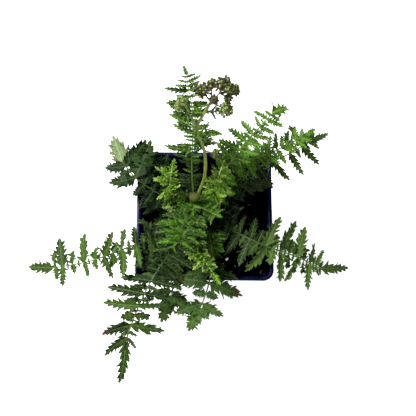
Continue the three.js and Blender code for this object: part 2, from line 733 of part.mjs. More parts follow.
// The flowering stem in one piece: the stump, the shoot and its side shoot, the long leaf, the small
// ones under the forks, and the twigs to the clumps.
function floweringStem() {
  const PITH_RADIUS = 1.1;
  const PITH_LENGTH = 3;
  const SHOOT_RADII = [1.5, 1.0];
  const SIDE_SHOOT_RADII = [0.9, 0.7];
  const TWIG_RADII = [0.6, 0.5];
  const top = vector(stump.route.at(-1));
  const pith = new THREE.CylinderGeometry(PITH_RADIUS, PITH_RADIUS, PITH_LENGTH, 6);
  pith.rotateX(Math.PI / 2).translate(...top.toArray());
  const curve = (points) => new THREE.CatmullRomCurve3(points.map(vector), false, "centripetal");
  const bract = (plan) =>
    leaf({
      ...plan, rooted: false, habit: "close", leaflets: [[0.55, 5, 60, 5, 60]], tip: 8, thick: 0.75,
      change: { teeth: 1 },
    });
  const twig = (start, end) => stalk(new THREE.LineCurve3(vector(start), end), ...TWIG_RADII, 1, 5);
  return joined([
    stalk(spineOf(stump), STUMP_RADIUS, STUMP_RADIUS, 4, 8),
    stalk(curve(shoot), ...SHOOT_RADII, 14),
    stalk(curve(sideShoot), ...SIDE_SHOOT_RADII, 4),
    leaf(stemLeaf),
    ...bracts.map(bract),
    twig(lowFork, vector(highFork)),
    ...clumps.map((clump) => twig(clump.fork, twigEnd(clump))),
  ]).subtract(solidOf(pith));
}

// Soil holes

// A plain hole round the sunk end of a stem, a little wider than the stem.
function holeFor({ route }, radius) {
  const START_ABOVE = 5;
  const points = route.map(vector);
  const foot = footOf(points);
  const rise = points[0].clone().sub(foot).normalize();
  const low = foot.clone().addScaledVector(rise, -CLEARANCE);
  const high = points[0].clone().addScaledVector(rise, START_ABOVE);
  return stalk(new THREE.LineCurve3(low, high), radius, radius, 1, 6);
}

// Assembly

const finishes = {
  pot: { color: "#10105e", roughness: 0.35 },
  soil: { color: "#15100d", roughness: 0.95 },
  mature: { color: "#2f5a24", roughness: 0.6 },
  close: { color: "#3a6a26", roughness: 0.6 },
  broad: { color: "#28502a", roughness: 0.6 },
  young: { color: "#6fa636", roughness: 0.55 },
  stem: { color: "#8c9a52", roughness: 0.6 },
  ripe: { color: "#4a2f2a", roughness: 0.7 },
  green: { color: "#8a9c4c", roughness: 0.65 },
};

const plant = new THREE.Group();

function add(name, solid, finish) {
  const material = new THREE.MeshStandardMaterial({ ...finish, metalness: 0 });
  const mesh = new THREE.Mesh(geometryOf(solid), material);
  mesh.name = name;
  plant.add(mesh);
}

const holes = leafPlans.map((plan) => holeFor(plan, PETIOLE_HOLE));
holes.push(holeFor(stump, STUMP_RADIUS + 2 * CLEARANCE));

add("pot", pot(), finishes.pot);
add("soil", soil(holes), finishes.soil);
for (const plan of leafPlans) add(plan.name, leaf(plan), finishes[plan.habit]);
add("flowering_stem", floweringStem(), finishes.stem);
for (const clump of clumps)
  add(clump.name, budClump(clump), clump.ripe ? finishes.ripe : finishes.green);

export default plant;
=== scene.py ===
import logging
import math
from collections.abc import Callable, Iterable, Iterator, Sequence
from contextlib import contextmanager
from dataclasses import dataclass, field, replace
from enum import Enum, IntEnum

import bmesh
import bpy
import numpy as np
from mathutils import Matrix, Quaternion, Vector


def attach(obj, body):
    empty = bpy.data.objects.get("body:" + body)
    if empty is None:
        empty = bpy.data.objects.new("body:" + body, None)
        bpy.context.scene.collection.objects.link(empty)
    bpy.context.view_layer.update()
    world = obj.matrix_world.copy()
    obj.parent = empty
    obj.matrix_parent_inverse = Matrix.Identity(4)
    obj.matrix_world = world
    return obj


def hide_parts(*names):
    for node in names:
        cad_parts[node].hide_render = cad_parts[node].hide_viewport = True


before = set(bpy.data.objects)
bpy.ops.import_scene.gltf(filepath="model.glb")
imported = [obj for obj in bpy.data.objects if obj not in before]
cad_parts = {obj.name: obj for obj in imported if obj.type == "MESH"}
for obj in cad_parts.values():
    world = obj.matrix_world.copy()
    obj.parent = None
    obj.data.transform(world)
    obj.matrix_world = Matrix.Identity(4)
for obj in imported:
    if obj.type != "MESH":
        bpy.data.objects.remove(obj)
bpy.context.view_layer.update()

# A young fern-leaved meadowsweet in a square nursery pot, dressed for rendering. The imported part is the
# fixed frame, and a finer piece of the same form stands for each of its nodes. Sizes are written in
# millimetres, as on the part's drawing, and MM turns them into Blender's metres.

MM = 0.001
UP = Vector((0, 0, 1))
BODY = "root"

# The pot and its soil, as in the part's source
POT_HEIGHT = 88.0
RIM_WIDTH = 90.0
BASE_WIDTH = 64.0
WALL = 1.4
BAND_HEIGHT = 9.0
BAND_PROUD = 1.5
RIM_CORNER = 7.0
BASE_CORNER = 5.0
SIDE_BOW = 0.3
SQUEEZE = 1.5
DRAIN_RADIUS = 4.0
DRAIN_OFFSET = 19.0
SOIL_TOP = 76.0
SOIL_LUMPS = 1.1
CLEARANCE = 0.4
SUNK = 9.0

# The photo's camera: its tilt from straight down, the distance to the middle of the rim, the point it looks
# at, and its focal length in widths of the picture
CAMERA_TILT = 13.0
CAMERA_DISTANCE = 450.0
CAMERA_AIM = Vector((2.4, 4.6, POT_HEIGHT))
FOCAL_WIDTHS = 683 / 416

log = logging.getLogger("meadowsweet")

# A piece on the bench, a place or a direction, a colour as light values, and the two ends of a range
Piece = bpy.types.Object
Material = bpy.types.Material
Point = Sequence[float]
Colour = tuple[float, float, float]
Range = tuple[float, float]


class Skin(IntEnum):
    """The plant's materials, by their numbers on its faces."""

    UPPER = 0
    UNDER = 1
    STALK = 2
    STEM = 3
    PITH = 4


class Draws:
    """Repeatable numbers from 0 to 1, the same as in the part's source for the same seed."""

    def __init__(self, seed: int) -> None:
        """Starts the row of numbers at a seed."""
        self.state = seed

    def next(self) -> float:
        """The next number from 0 to 1."""
        self.state = (self.state * 16807) % 2147483647
        return self.state / 2147483647

    def stray(self, amount: float) -> float:
        """A number from minus half of amount to plus half of it."""
        return amount * (self.next() - 0.5)

    def within(self, low: float, high: float) -> float:
        """A number from low to high."""
        return lerp(low, high, self.next())


def lerp(start: float, end: float, share: float) -> float:
    """The value at a share of the way from start to end."""
    return start + (end - start) * share


# Bench work: how a piece is started, shaped and finished


def deselect_all() -> None:
    """Clears the selection, so that an operator acts only on what is selected next."""
    for item in list(bpy.context.selected_objects):
        item.select_set(False)


def pick(*pieces: Piece) -> None:
    """Selects these pieces alone and makes the first one active."""
    deselect_all()
    for piece in pieces:
        piece.select_set(True)
    bpy.context.view_layer.objects.active = pieces[0]


@contextmanager
def editing(piece: Piece, selected: bool = False) -> Iterator[None]:
    """Holds a piece in edit mode.

    Args:
        piece: The piece to edit.
        selected: True to begin with all of it selected, False with none.
    """
    pick(piece)
    bpy.ops.object.mode_set(mode="EDIT")
    bpy.ops.mesh.select_all(action="SELECT" if selected else "DESELECT")
    yield
    bpy.ops.object.mode_set(mode="OBJECT")


def edit_mesh(piece: Piece) -> bmesh.types.BMesh:
    """The mesh under edit, with its lists ready to be read by index."""
    mesh = bmesh.from_edit_mesh(piece.data)
    for items in (mesh.verts, mesh.edges, mesh.faces):
        items.ensure_lookup_table()
        items.index_update()
    return mesh


def grown_from(mesh: bmesh.types.BMesh, index: int) -> bmesh.types.BMVert:
    """The selected point that the last extrusion grew from another point."""
    vertex = mesh.verts[index]
    return next(other for edge in vertex.link_edges if (other := edge.other_vert(vertex)).select)


def select_upward(piece: Piece, steepness: float) -> None:
    """Selects the faces of the piece under edit whose normals rise by more than steepness."""
    bpy.ops.mesh.select_mode(type="FACE")
    mesh = edit_mesh(piece)
    for face in mesh.faces:
        face.select = face.normal.z > steepness
    bmesh.update_edit_mesh(piece.data)


def named(name: str) -> Piece:
    """Names the active piece and its mesh, and returns it."""
    piece = bpy.context.object
    piece.name = name
    piece.data.name = name
    return piece


def primitive(name: str, add: Callable[..., object], **options: object) -> Piece:
    """Adds a primitive as the start of a piece, with nothing else selected.

    Args:
        name: The piece's name.
        add: The operator that adds the primitive.
        options: What the operator is given.

    Returns:
        The piece.
    """
    deselect_all()
    add(**options)
    return named(name)


def finish_modifiers(piece: Piece) -> None:
    """Applies every modifier of a piece."""
    pick(piece)
    for modifier in list(piece.modifiers):
        bpy.ops.object.modifier_apply(modifier=modifier.name)


def mend(piece: Piece, reach: float = 0.002) -> None:
    """Merges doubled points and turns every face outwards.

    Args:
        piece: The piece to mend.
        reach: How near two points are to count as one, in millimetres.
    """
    with editing(piece, selected=True):
        bpy.ops.mesh.remove_doubles(threshold=reach * MM)
        bpy.ops.mesh.normals_make_consistent(inside=False)


def settle(piece: Piece) -> None:
    """Puts a piece's place into its mesh, so that its object sits at the origin."""
    pick(piece)
    bpy.ops.object.transform_apply(location=True, rotation=True, scale=True)


def smooth(piece: Piece, angle: float) -> None:
    """Shades a piece smooth, apart from edges sharper than an angle in degrees."""
    pick(piece)
    bpy.ops.object.shade_smooth_by_angle(angle=math.radians(angle))


def paint(piece: Piece, *materials: Material) -> None:
    """Gives a piece these materials, and keeps its faces' material numbers."""
    faces = piece.data.polygons
    numbers = np.zeros(len(faces), dtype=np.int32)
    faces.foreach_get("material_index", numbers)
    piece.data.materials.clear()
    for material in materials:
        piece.data.materials.append(material)
    faces.foreach_set("material_index", numbers)


def copy_of(model: Piece, shape: Callable[[np.ndarray], np.ndarray]) -> Piece:
    """Copies a modelled piece with a mesh of its own, and puts the copy's points in their new places.

    Args:
        model: The piece that was modelled once.
        shape: Turns the model's points into the copy's, both as rows of x, y and z.

    Returns:
        The copy, in the scene.
    """
    twin = model.copy()
    twin.data = model.data.copy()
    bpy.context.scene.collection.objects.link(twin)
    points = np.empty(len(twin.data.vertices) * 3)
    twin.data.vertices.foreach_get("co", points)
    twin.data.vertices.foreach_set("co", shape(points.reshape(-1, 3)).ravel())
    return twin


def tag(piece: Piece, name: str, value: float | Sequence[float]) -> None:
    """Writes one number to all points of a piece, or each point's own, for a material to read."""
    attribute = piece.data.attributes.new(name, "FLOAT", "POINT")
    attribute.data.foreach_set("value", np.full(len(piece.data.vertices), value))


def join(name: str, pieces: Iterable[Piece]) -> Piece:
    """Joins pieces into one with a name."""
    pick(*pieces)
    bpy.ops.object.join()
    return named(name)


def assemble(
    name: str, parts: Sequence[Piece], materials: Sequence[Material], angle: float = 35.0
) -> Piece:
    """Dresses parts in the same materials, joins them and shades them smooth.

    Args:
        name: The whole piece's name.
        parts: The parts.
        materials: The materials, in the order of the numbers on the parts' faces.
        angle: How sharp an edge stays, in degrees.

    Returns:
        The parts as one piece.
    """
    for part in parts:
        paint(part, *materials)
    piece = join(name, parts)
    smooth(piece, angle)
    return piece


def discard(*models: Piece) -> None:
    """Takes models that were only copied out of the scene."""
    for model in models:
        bpy.data.objects.remove(model)


def add_object(name: str, data: bpy.types.ID) -> Piece:
    """Adds a light or a camera to the scene."""
    item = bpy.data.objects.new(name, data)
    bpy.context.scene.collection.objects.link(item)
    return item


def ring_start(name: str, ring: Sequence[Vector]) -> Piece:
    """Starts a piece as a flat filled ring, ready to be extruded.

    Args:
        name: The piece's name.
        ring: The ring's points, in millimetres.

    Returns:
        The piece.
    """
    piece = primitive(name, bpy.ops.mesh.primitive_circle_add, vertices=len(ring), fill_type="NGON")
    for vertex, place in zip(piece.data.vertices, ring):
        vertex.co = place * MM
    return piece


def extrude_rings(piece: Piece, rings: Iterable[Sequence[Vector]]) -> None:
    """Extrudes a piece's filled ring from one ring to the next, which makes a closed skin.

    Args:
        piece: A piece from ring_start.
        rings: The rings in order, each with as many points as the first, in millimetres.
    """
    with editing(piece, selected=True):
        order = list(range(len(piece.data.vertices)))
        for ring in rings:
            bpy.ops.mesh.extrude_region()
            mesh = edit_mesh(piece)
            grown = [grown_from(mesh, index) for index in order]
            for vertex, place in zip(grown, ring):
                vertex.co = place * MM
            order = [vertex.index for vertex in grown]
            bmesh.update_edit_mesh(piece.data)


# Shader maths


class Signal:
    """A value that varies over a surface, so that shader maths reads as plain expressions."""

    def __init__(self, shader: "Shader", socket: bpy.types.NodeSocket) -> None:
        """Wraps a socket of a shader's node."""
        self.shader = shader
        self.socket = socket

    def math(self, operation: str, *values: "Signal | float") -> "Signal":
        """One Math node's result on some values."""
        inputs = dict(enumerate(values))
        return self.shader.node("ShaderNodeMath", {"operation": operation}, inputs)

    def __add__(self, other: "Signal | float") -> "Signal":
        """The sum."""
        return self.math("ADD", self, other)

    def __sub__(self, other: "Signal | float") -> "Signal":
        """The difference."""
        return self.math("SUBTRACT", self, other)

    def __rsub__(self, other: float) -> "Signal":
        """A number minus this."""
        return self.math("SUBTRACT", other, self)

    def __mul__(self, other: "Signal | float") -> "Signal":
        """The product."""
        return self.math("MULTIPLY", self, other)

    __radd__ = __add__
    __rmul__ = __mul__

    def distance(self) -> "Signal":
        """This without its sign."""
        return self.math("ABSOLUTE", self)

    def wave(self) -> "Signal":
        """A triangle wave of this, from 0 at whole numbers to 0.5 halfway between them."""
        return self.math("PINGPONG", self, 0.5)

    def between(self, low: float, high: float) -> "Signal":
        """A smooth mask that goes from 0 at low to 1 at high."""
        settings = {"interpolation_type": "SMOOTHSTEP"}
        return self.shader.node("ShaderNodeMapRange", settings, {0: self, 1: low, 2: high})


class Shader:
    """One material under construction."""

    def __init__(self, name: str, **constants: float) -> None:
        """Starts a material whose shader has these constants on its own sockets."""
        self.material = bpy.data.materials.new(name)
        self.material.use_nodes = True
        self.tree = self.material.node_tree
        self.surface = self.tree.nodes["Principled BSDF"]
        for socket, value in constants.items():
            self.surface.inputs[socket.replace("_", " ")].default_value = value

    def node(
        self,
        kind: str,
        settings: dict[str, object] | None = None,
        inputs: dict[int | str, object] | None = None,
        output: int | str = 0,
    ) -> Signal:
        """Adds a node.

        Args:
            kind: The node's type.
            settings: The node's own settings, which are set first.
            inputs: What each socket gets, by its name or number: a signal or a constant.
            output: The socket that is returned.

        Returns:
            The output as a signal.
        """
        made = self.tree.nodes.new(kind)
        for name, value in (settings or {}).items():
            setattr(made, name, value)
        for socket, value in (inputs or {}).items():
            if isinstance(value, Signal):
                self.tree.links.new(value.socket, made.inputs[socket])
            else:
                made.inputs[socket].default_value = value
        return Signal(self, made.outputs[output])

    def place(self) -> Signal:
        """The point on the object, in metres."""
        return self.node("ShaderNodeTexCoord", output="Object")

    def from_middle(self) -> Signal:
        """How far out from the upright axis through the pot a point lies, in metres."""
        flat = self.node("ShaderNodeMapping", inputs={"Vector": self.place(), "Scale": (1, 1, 0)})
        return self.node("ShaderNodeVectorMath", {"operation": "LENGTH"}, {0: flat}, "Value")

    def uv(self) -> tuple[Signal, Signal]:
        """The piece's own two surface coordinates."""
        both = {0: self.node("ShaderNodeUVMap", {"uv_map": "leaflet"})}
        along, across = (self.node("ShaderNodeSeparateXYZ", inputs=both, output=k) for k in (0, 1))
        return along, across

    def tagged(self, name: str) -> Signal:
        """The number that tag wrote to the piece's points."""
        return self.node("ShaderNodeAttribute", {"attribute_name": name}, output="Fac")

    def noise(self, size: float, detail: float = 3.0, stretch: Point = (1, 1, 1)) -> Signal:
        """Noise over the object.

        Args:
            size: The size of its patches, in millimetres.
            detail: How many finer layers it has.
            stretch: How many times as close its patches stand along x, y and z.

        Returns:
            A signal from about 0 to 1.
        """
        scale = {"Location": (0, 0, 0), "Scale": tuple(stretch)}
        spot = self.node("ShaderNodeMapping", inputs={"Vector": self.place(), **scale})
        values = {"Vector": spot, "Scale": 1 / (size * MM), "Detail": detail}
        return self.node("ShaderNodeTexNoise", inputs=values)

    def layers(self, base: Colour, *layers: tuple[Signal, Colour]) -> Signal:
        """Colours laid one over the other.

        Args:
            base: The lowest colour.
            layers: The mask and the colour of each layer on it, from the lowest up.

        Returns:
            The colour that shows.
        """
        FACTOR, BELOW, ABOVE, RESULT = 0, 6, 7, 2
        shown = (*base, 1.0)
        for mask, colour in layers:
            inputs = {FACTOR: mask, BELOW: shown, ABOVE: (*colour, 1.0)}
            shown = self.node("ShaderNodeMix", {"data_type": "RGBA"}, inputs, RESULT)
        return shown

    def finish(
        self,
        colour: Signal,
        roughness: Signal | None = None,
        height: Signal | None = None,
        depth: float = 0.1,
    ) -> Material:
        """Links what varies to the shader.

        Args:
            colour: The base colour.
            roughness: The roughness, where it varies.
            height: The relief, from 0 to 1.
            depth: How deep the relief is, in millimetres.

        Returns:
            The finished material.
        """
        links = {"Base Color": colour, "Roughness": roughness}
        if height is not None:
            values = {"Height": height, "Distance": depth * MM, "Strength": 1.0}
            links["Normal"] = self.node("ShaderNodeBump", inputs=values)
        for socket, value in links.items():
            if value is not None:
                self.tree.links.new(value.socket, self.surface.inputs[socket])
        return self.material


def rgb(red: int, green: int, blue: int) -> Colour:
    """A colour as seen on a screen, from 0 to 255, as the light values that a shader takes."""
    shares = [value / 255 for value in (red, green, blue)]
    return tuple(s / 12.92 if s <= 0.04045 else ((s + 0.055) / 1.055) ** 2.4 for s in shares)


@dataclass(frozen=True)
class LeafFinish:
    """One side of a leaf's blade: its greens, the paler ribs, and browned tips.

    Attributes:
        name: The material's name.
        dark: The green of the oldest parts, and of the painted shade.
        light: The green of the freshest parts, and of the painted light.
        rib: The colour of the middle rib and its branches, and of the pale edges and tips.
        veins: How many side veins a leaflet has to each side.
        roughness: How dull its surface is.
        rib_strength: How clearly the ribs show.
        edge_strength: How pale its edge is: partly its own paler margin, partly painted highlight.
        tip_strength: How pale its tip is: partly young growth, partly painted highlight of light from
            above.
        shade: How much darker it is painted in the middle of the plant: painted shade from the leaves
        above, on leaves that are also older there.
        scorch: The colour of dry tips.
    """

    name: str
    dark: Colour
    light: Colour
    rib: Colour
    veins: int = 6
    roughness: float = 0.55
    rib_strength: float = 0.35
    edge_strength: float = 0.35
    tip_strength: float = 0.0
    shade: float = 0.0
    scorch: Colour = rgb(80, 58, 32)

    def material(self) -> Material:
        """Makes the material."""
        shader = Shader(self.name, Specular_IOR_Level=0.12)
        along, across = shader.uv()
        side = (across - 0.5).distance()
        rib = 1 - side.between(0.0, 0.035)
        slant = (along - side * 0.7) * self.veins
        vein = (1 - slant.wave().between(0.0, 0.13)) * (1 - side.between(0.3, 0.5))
        # Painted shade: the blade is darker towards the middle of the plant, where the leaves above shade
        # it and the leaves are also older
        inner = (1 - shader.from_middle().between(0.035, 0.075)) * self.shade
        age_and_shade = shader.noise(14, 2) * 0.4 + shader.tagged("tint") * 0.8 - inner
        mottle = shader.noise(1.3, 4)
        # Pale edges and tips: partly the blade's own paler margin and young tips, partly painted highlight
        margin = side.between(0.34, 0.52) * shader.noise(1.6, 2).between(0.35, 0.65)
        ribs_and_highlights = (rib + vein * 0.45) * self.rib_strength + margin * self.edge_strength
        ribs_and_highlights = ribs_and_highlights + along.between(0.6, 1.0) * self.tip_strength
        dry = (along + shader.noise(1.6, 3) * 0.8).between(0.95, 1.35) * shader.tagged("dry")
        colour = shader.layers(
            self.dark,
            (age_and_shade.between(0.15, 0.95), self.light),
            (mottle.between(0.48, 0.7) * 0.42, self.light),
            (mottle.between(0.52, 0.36) * 0.6, self.dark),
            (ribs_and_highlights, self.rib),
            (dry, self.scorch),
        )
        relief = shader.noise(0.9, 2) * 0.5 + (1 - rib) * 0.3 + (1 - vein) * 0.25
        rough = shader.noise(5, 2) * 0.16 + (self.roughness - 0.08)
        return shader.finish(colour, rough, relief, 0.4)


@dataclass(frozen=True)
class StalkFinish:
    """The smooth skin of a stalk, with fine streaks along it.

    Attributes:
        name: The material's name.
        base: Its green.
        streak: The colour of its streaks.
        shade: How much of its colour it loses in the middle of the plant: painted shade from the leaves
            above, on stalks that are also older there.
        old_and_shaded: The colour that it has there, dark with painted shade.
    """

    name: str
    base: Colour
    streak: Colour
    shade: float = 0.0
    old_and_shaded: Colour = rgb(22, 40, 8)

    def material(self) -> Material:
        """Makes the material."""
        shader = Shader(self.name, Specular_IOR_Level=0.4)
        streaks = shader.noise(1.1, 2, (1, 1, 0.12)).between(0.35, 0.7)
        patches = shader.noise(12, 2).between(0.35, 0.7)
        # Painted shade: the stalk is darker towards the middle of the plant, under the leaves above, where
        # it is also older
        inner = (1 - shader.from_middle().between(0.045, 0.075)) * self.shade
        colour = shader.layers(
            self.base, (streaks * 0.6, self.streak), (patches * 0.3, self.streak), (inner, self.old_and_shaded)
        )
        return shader.finish(colour, shader.noise(3, 2) * 0.2 + 0.4, streaks, 0.1)


@dataclass(frozen=True)
class PithFinish:
    """The cut end of the older stem: tan pith, darker in spots."""

    name: str = "cut_pith"
    spots: Colour = rgb(34, 34, 2)
    tan: Colour = rgb(70, 70, 14)

    def material(self) -> Material:
        """Makes the material."""
        shader = Shader(self.name, Roughness=0.85)
        grain = shader.noise(0.6, 4)
        colour = shader.layers(self.spots, (grain.between(0.35, 0.65), self.tan))
        return shader.finish(colour, None, grain, 0.2)


@dataclass(frozen=True)
class PlasticFinish:
    """Thin blown plastic of a deep blue, worn brighter on its edges where glints are also painted, and
    dusty inside.
    """

    name: str = "blue_pot_plastic"
    deep: Colour = rgb(2, 2, 24)
    bright: Colour = rgb(9, 11, 72)
    dust: Colour = rgb(30, 28, 36)

    def material(self) -> Material:
        """Makes the material."""
        shader = Shader(self.name, Specular_IOR_Level=0.1, Coat_Weight=0.02, Coat_Roughness=0.1)
        cloud = shader.noise(22, 3)
        scuff = shader.noise(1.3, 5, (1, 1, 0.25))
        grime = shader.noise(4, 4).between(0.55, 0.75)
        colour = shader.layers(
            self.deep,
            (cloud.between(0.3, 0.75) * 0.55, self.bright),
            # Near the rim: wear of the plastic, and painted glints, in a brighter blue
            (shader.tagged("rim") * scuff.between(0.45, 0.7) * 0.8, self.bright),
            (grime * 0.22, self.dust),
        )
        rough = scuff * 0.25 + grime * 0.15 + 0.2
        ripple = shader.noise(9, 3) * 0.7 + scuff * 0.3
        return shader.finish(colour, rough, ripple, 0.22)


@dataclass(frozen=True)
class CompostFinish:
    """Damp compost, near black, with brown fibre in it."""

    name: str = "compost"
    dark: Colour = rgb(3, 3, 3)
    brown: Colour = rgb(17, 13, 10)

    def material(self) -> Material:
        """Makes the material."""
        shader = Shader(self.name, Specular_IOR_Level=0.0, Roughness=0.95)
        crumb = shader.noise(1.4, 6)
        fibre = shader.noise(2.6, 4, (1, 0.3, 1)).between(0.56, 0.7)
        damp = crumb.between(0.45, 0.75) * 0.6
        colour = shader.layers(self.dark, (damp, self.brown), (fibre * 0.5, self.brown))
        return shader.finish(colour, None, crumb, 0.9)


@dataclass(frozen=True)
class GrainFinish:
    """Loose grains: bark or perlite, each a little lighter or darker than the next."""

    name: str
    dark: Colour
    light: Colour

    def material(self) -> Material:
        """Makes the material."""
        shader = Shader(self.name, Specular_IOR_Level=0.2, Roughness=0.9)
        grain = shader.noise(0.7, 4)
        share = shader.tagged("tint") * 0.7 + grain * 0.4
        colour = shader.layers(self.dark, (share.between(0.15, 0.95), self.light))
        return shader.finish(colour, None, grain, 0.35)


@dataclass(frozen=True)
class BudFinish:
    """Closed flower buds, from green ones to ripe purple-brown ones, by each bud's own ripeness."""

    name: str = "flower_buds"
    green: Colour = rgb(116, 138, 68)
    ripe: Colour = rgb(42, 34, 10)
    bloom: Colour = rgb(144, 134, 70)

    def material(self) -> Material:
        """Makes the material."""
        shader = Shader(self.name, Specular_IOR_Level=0.3)
        blotch = shader.noise(0.9, 3)
        share = (shader.tagged("tint") + (blotch - 0.5) * 0.8).between(0.15, 0.8)
        dusty = shader.noise(0.5, 2).between(0.5, 0.8)
        colour = shader.layers(self.green, (share, self.ripe), (dusty * 0.3, self.bloom))
        return shader.finish(colour, blotch * 0.2 + 0.5, blotch, 0.2)


@dataclass(frozen=True)
class FloorFinish:
    """The studio's white table top."""

    name: str = "white_table"
    grey: Colour = (0.9, 0.9, 0.9)
    white: Colour = (0.93, 0.93, 0.93)
    glow: float = 0.65

    def material(self) -> Material:
        """Makes the material."""
        shader = Shader(self.name, Roughness=0.9, Specular_IOR_Level=0.1, Emission_Strength=self.glow)
        shader.surface.inputs["Emission Color"].default_value = (1, 1, 1, 1)
        patches = shader.noise(300, 1).between(0.3, 0.7)
        return shader.finish(shader.layers(self.grey, (patches, self.white)))


# Leaves


class Spine:
    """The smooth line through a leaf's or a shoot's route, measured by its length."""

    SAMPLES = 200

    def __init__(self, route: Sequence[Point], rooted: bool) -> None:
        """Draws the line.

        Args:
            route: Points on the line, in millimetres.
            rooted: True where the line goes on down into the soil.
        """
        points = [Vector(p) for p in route]
        if rooted:
            points.insert(0, self.foot(points))
        before = points[0] * 2 - points[1]
        after = points[-1] * 2 - points[-2]
        self.points = [before, *points, after]
        self.times = np.linspace(0, 1, self.SAMPLES + 1)
        line = np.array([self.at_time(time) for time in self.times])
        lengths = np.linalg.norm(np.diff(line, axis=0), axis=1)
        self.travelled = np.concatenate([[0], np.cumsum(lengths)])
        self.length = float(self.travelled[-1])

    @staticmethod
    def foot(points: Sequence[Vector]) -> Vector:
        """The lower end of a stem, which stands steeper in the soil than it leaves it."""
        rise = ((points[1] - points[0]).normalized() + UP).normalized()
        return points[0] - rise * SUNK

    def at_time(self, time: float) -> Vector:
        """The point at a share of the count of stretches."""
        stretches = len(self.points) - 3
        number = min(int(time * stretches), stretches - 1)
        share = time * stretches - number
        a, b, c, d = self.points[number : number + 4]
        ab, bc, cd = ((q - p).length ** 0.5 for p, q in ((a, b), (b, c), (c, d)))
        leave = ((b - a) / ab - (c - a) / (ab + bc) + (c - b) / bc) * bc
        arrive = ((c - b) / bc - (d - b) / (bc + cd) + (d - c) / cd) * bc
        square = (c - b) * 3 - leave * 2 - arrive
        cube = (b - c) * 2 + leave + arrive
        return b + leave * share + square * share**2 + cube * share**3

    def time(self, share: float) -> float:
        """The share of the count of stretches at a share of the length."""
        return float(np.interp(share * self.length, self.travelled, self.times))

    def at(self, share: float) -> Vector:
        """The point at a share of the length."""
        return self.at_time(self.time(share))

    def frame(self, share: float) -> tuple[Vector, Vector, Vector]:
        """The directions ahead, to the right and out of the upper face, at a share of the length."""
        STEP = 1e-4
        HEADING_WEIGHT = 0.4
        time = self.time(share)
        low, high = max(time - STEP, 0), min(time + STEP, 1)
        ahead = (self.at_time(high) - self.at_time(low)).normalized()
        heading = self.at(1) - self.at(0)
        heading.z = 0
        if heading.length < 1:
            heading = Vector((1, 0, 0))
        flat = Vector((ahead.x, ahead.y, 0)) + heading.normalized() * HEADING_WEIGHT
        right = flat.cross(UP)
        right = (right - ahead * right.dot(ahead)).normalized()
        return ahead, right, right.cross(ahead)


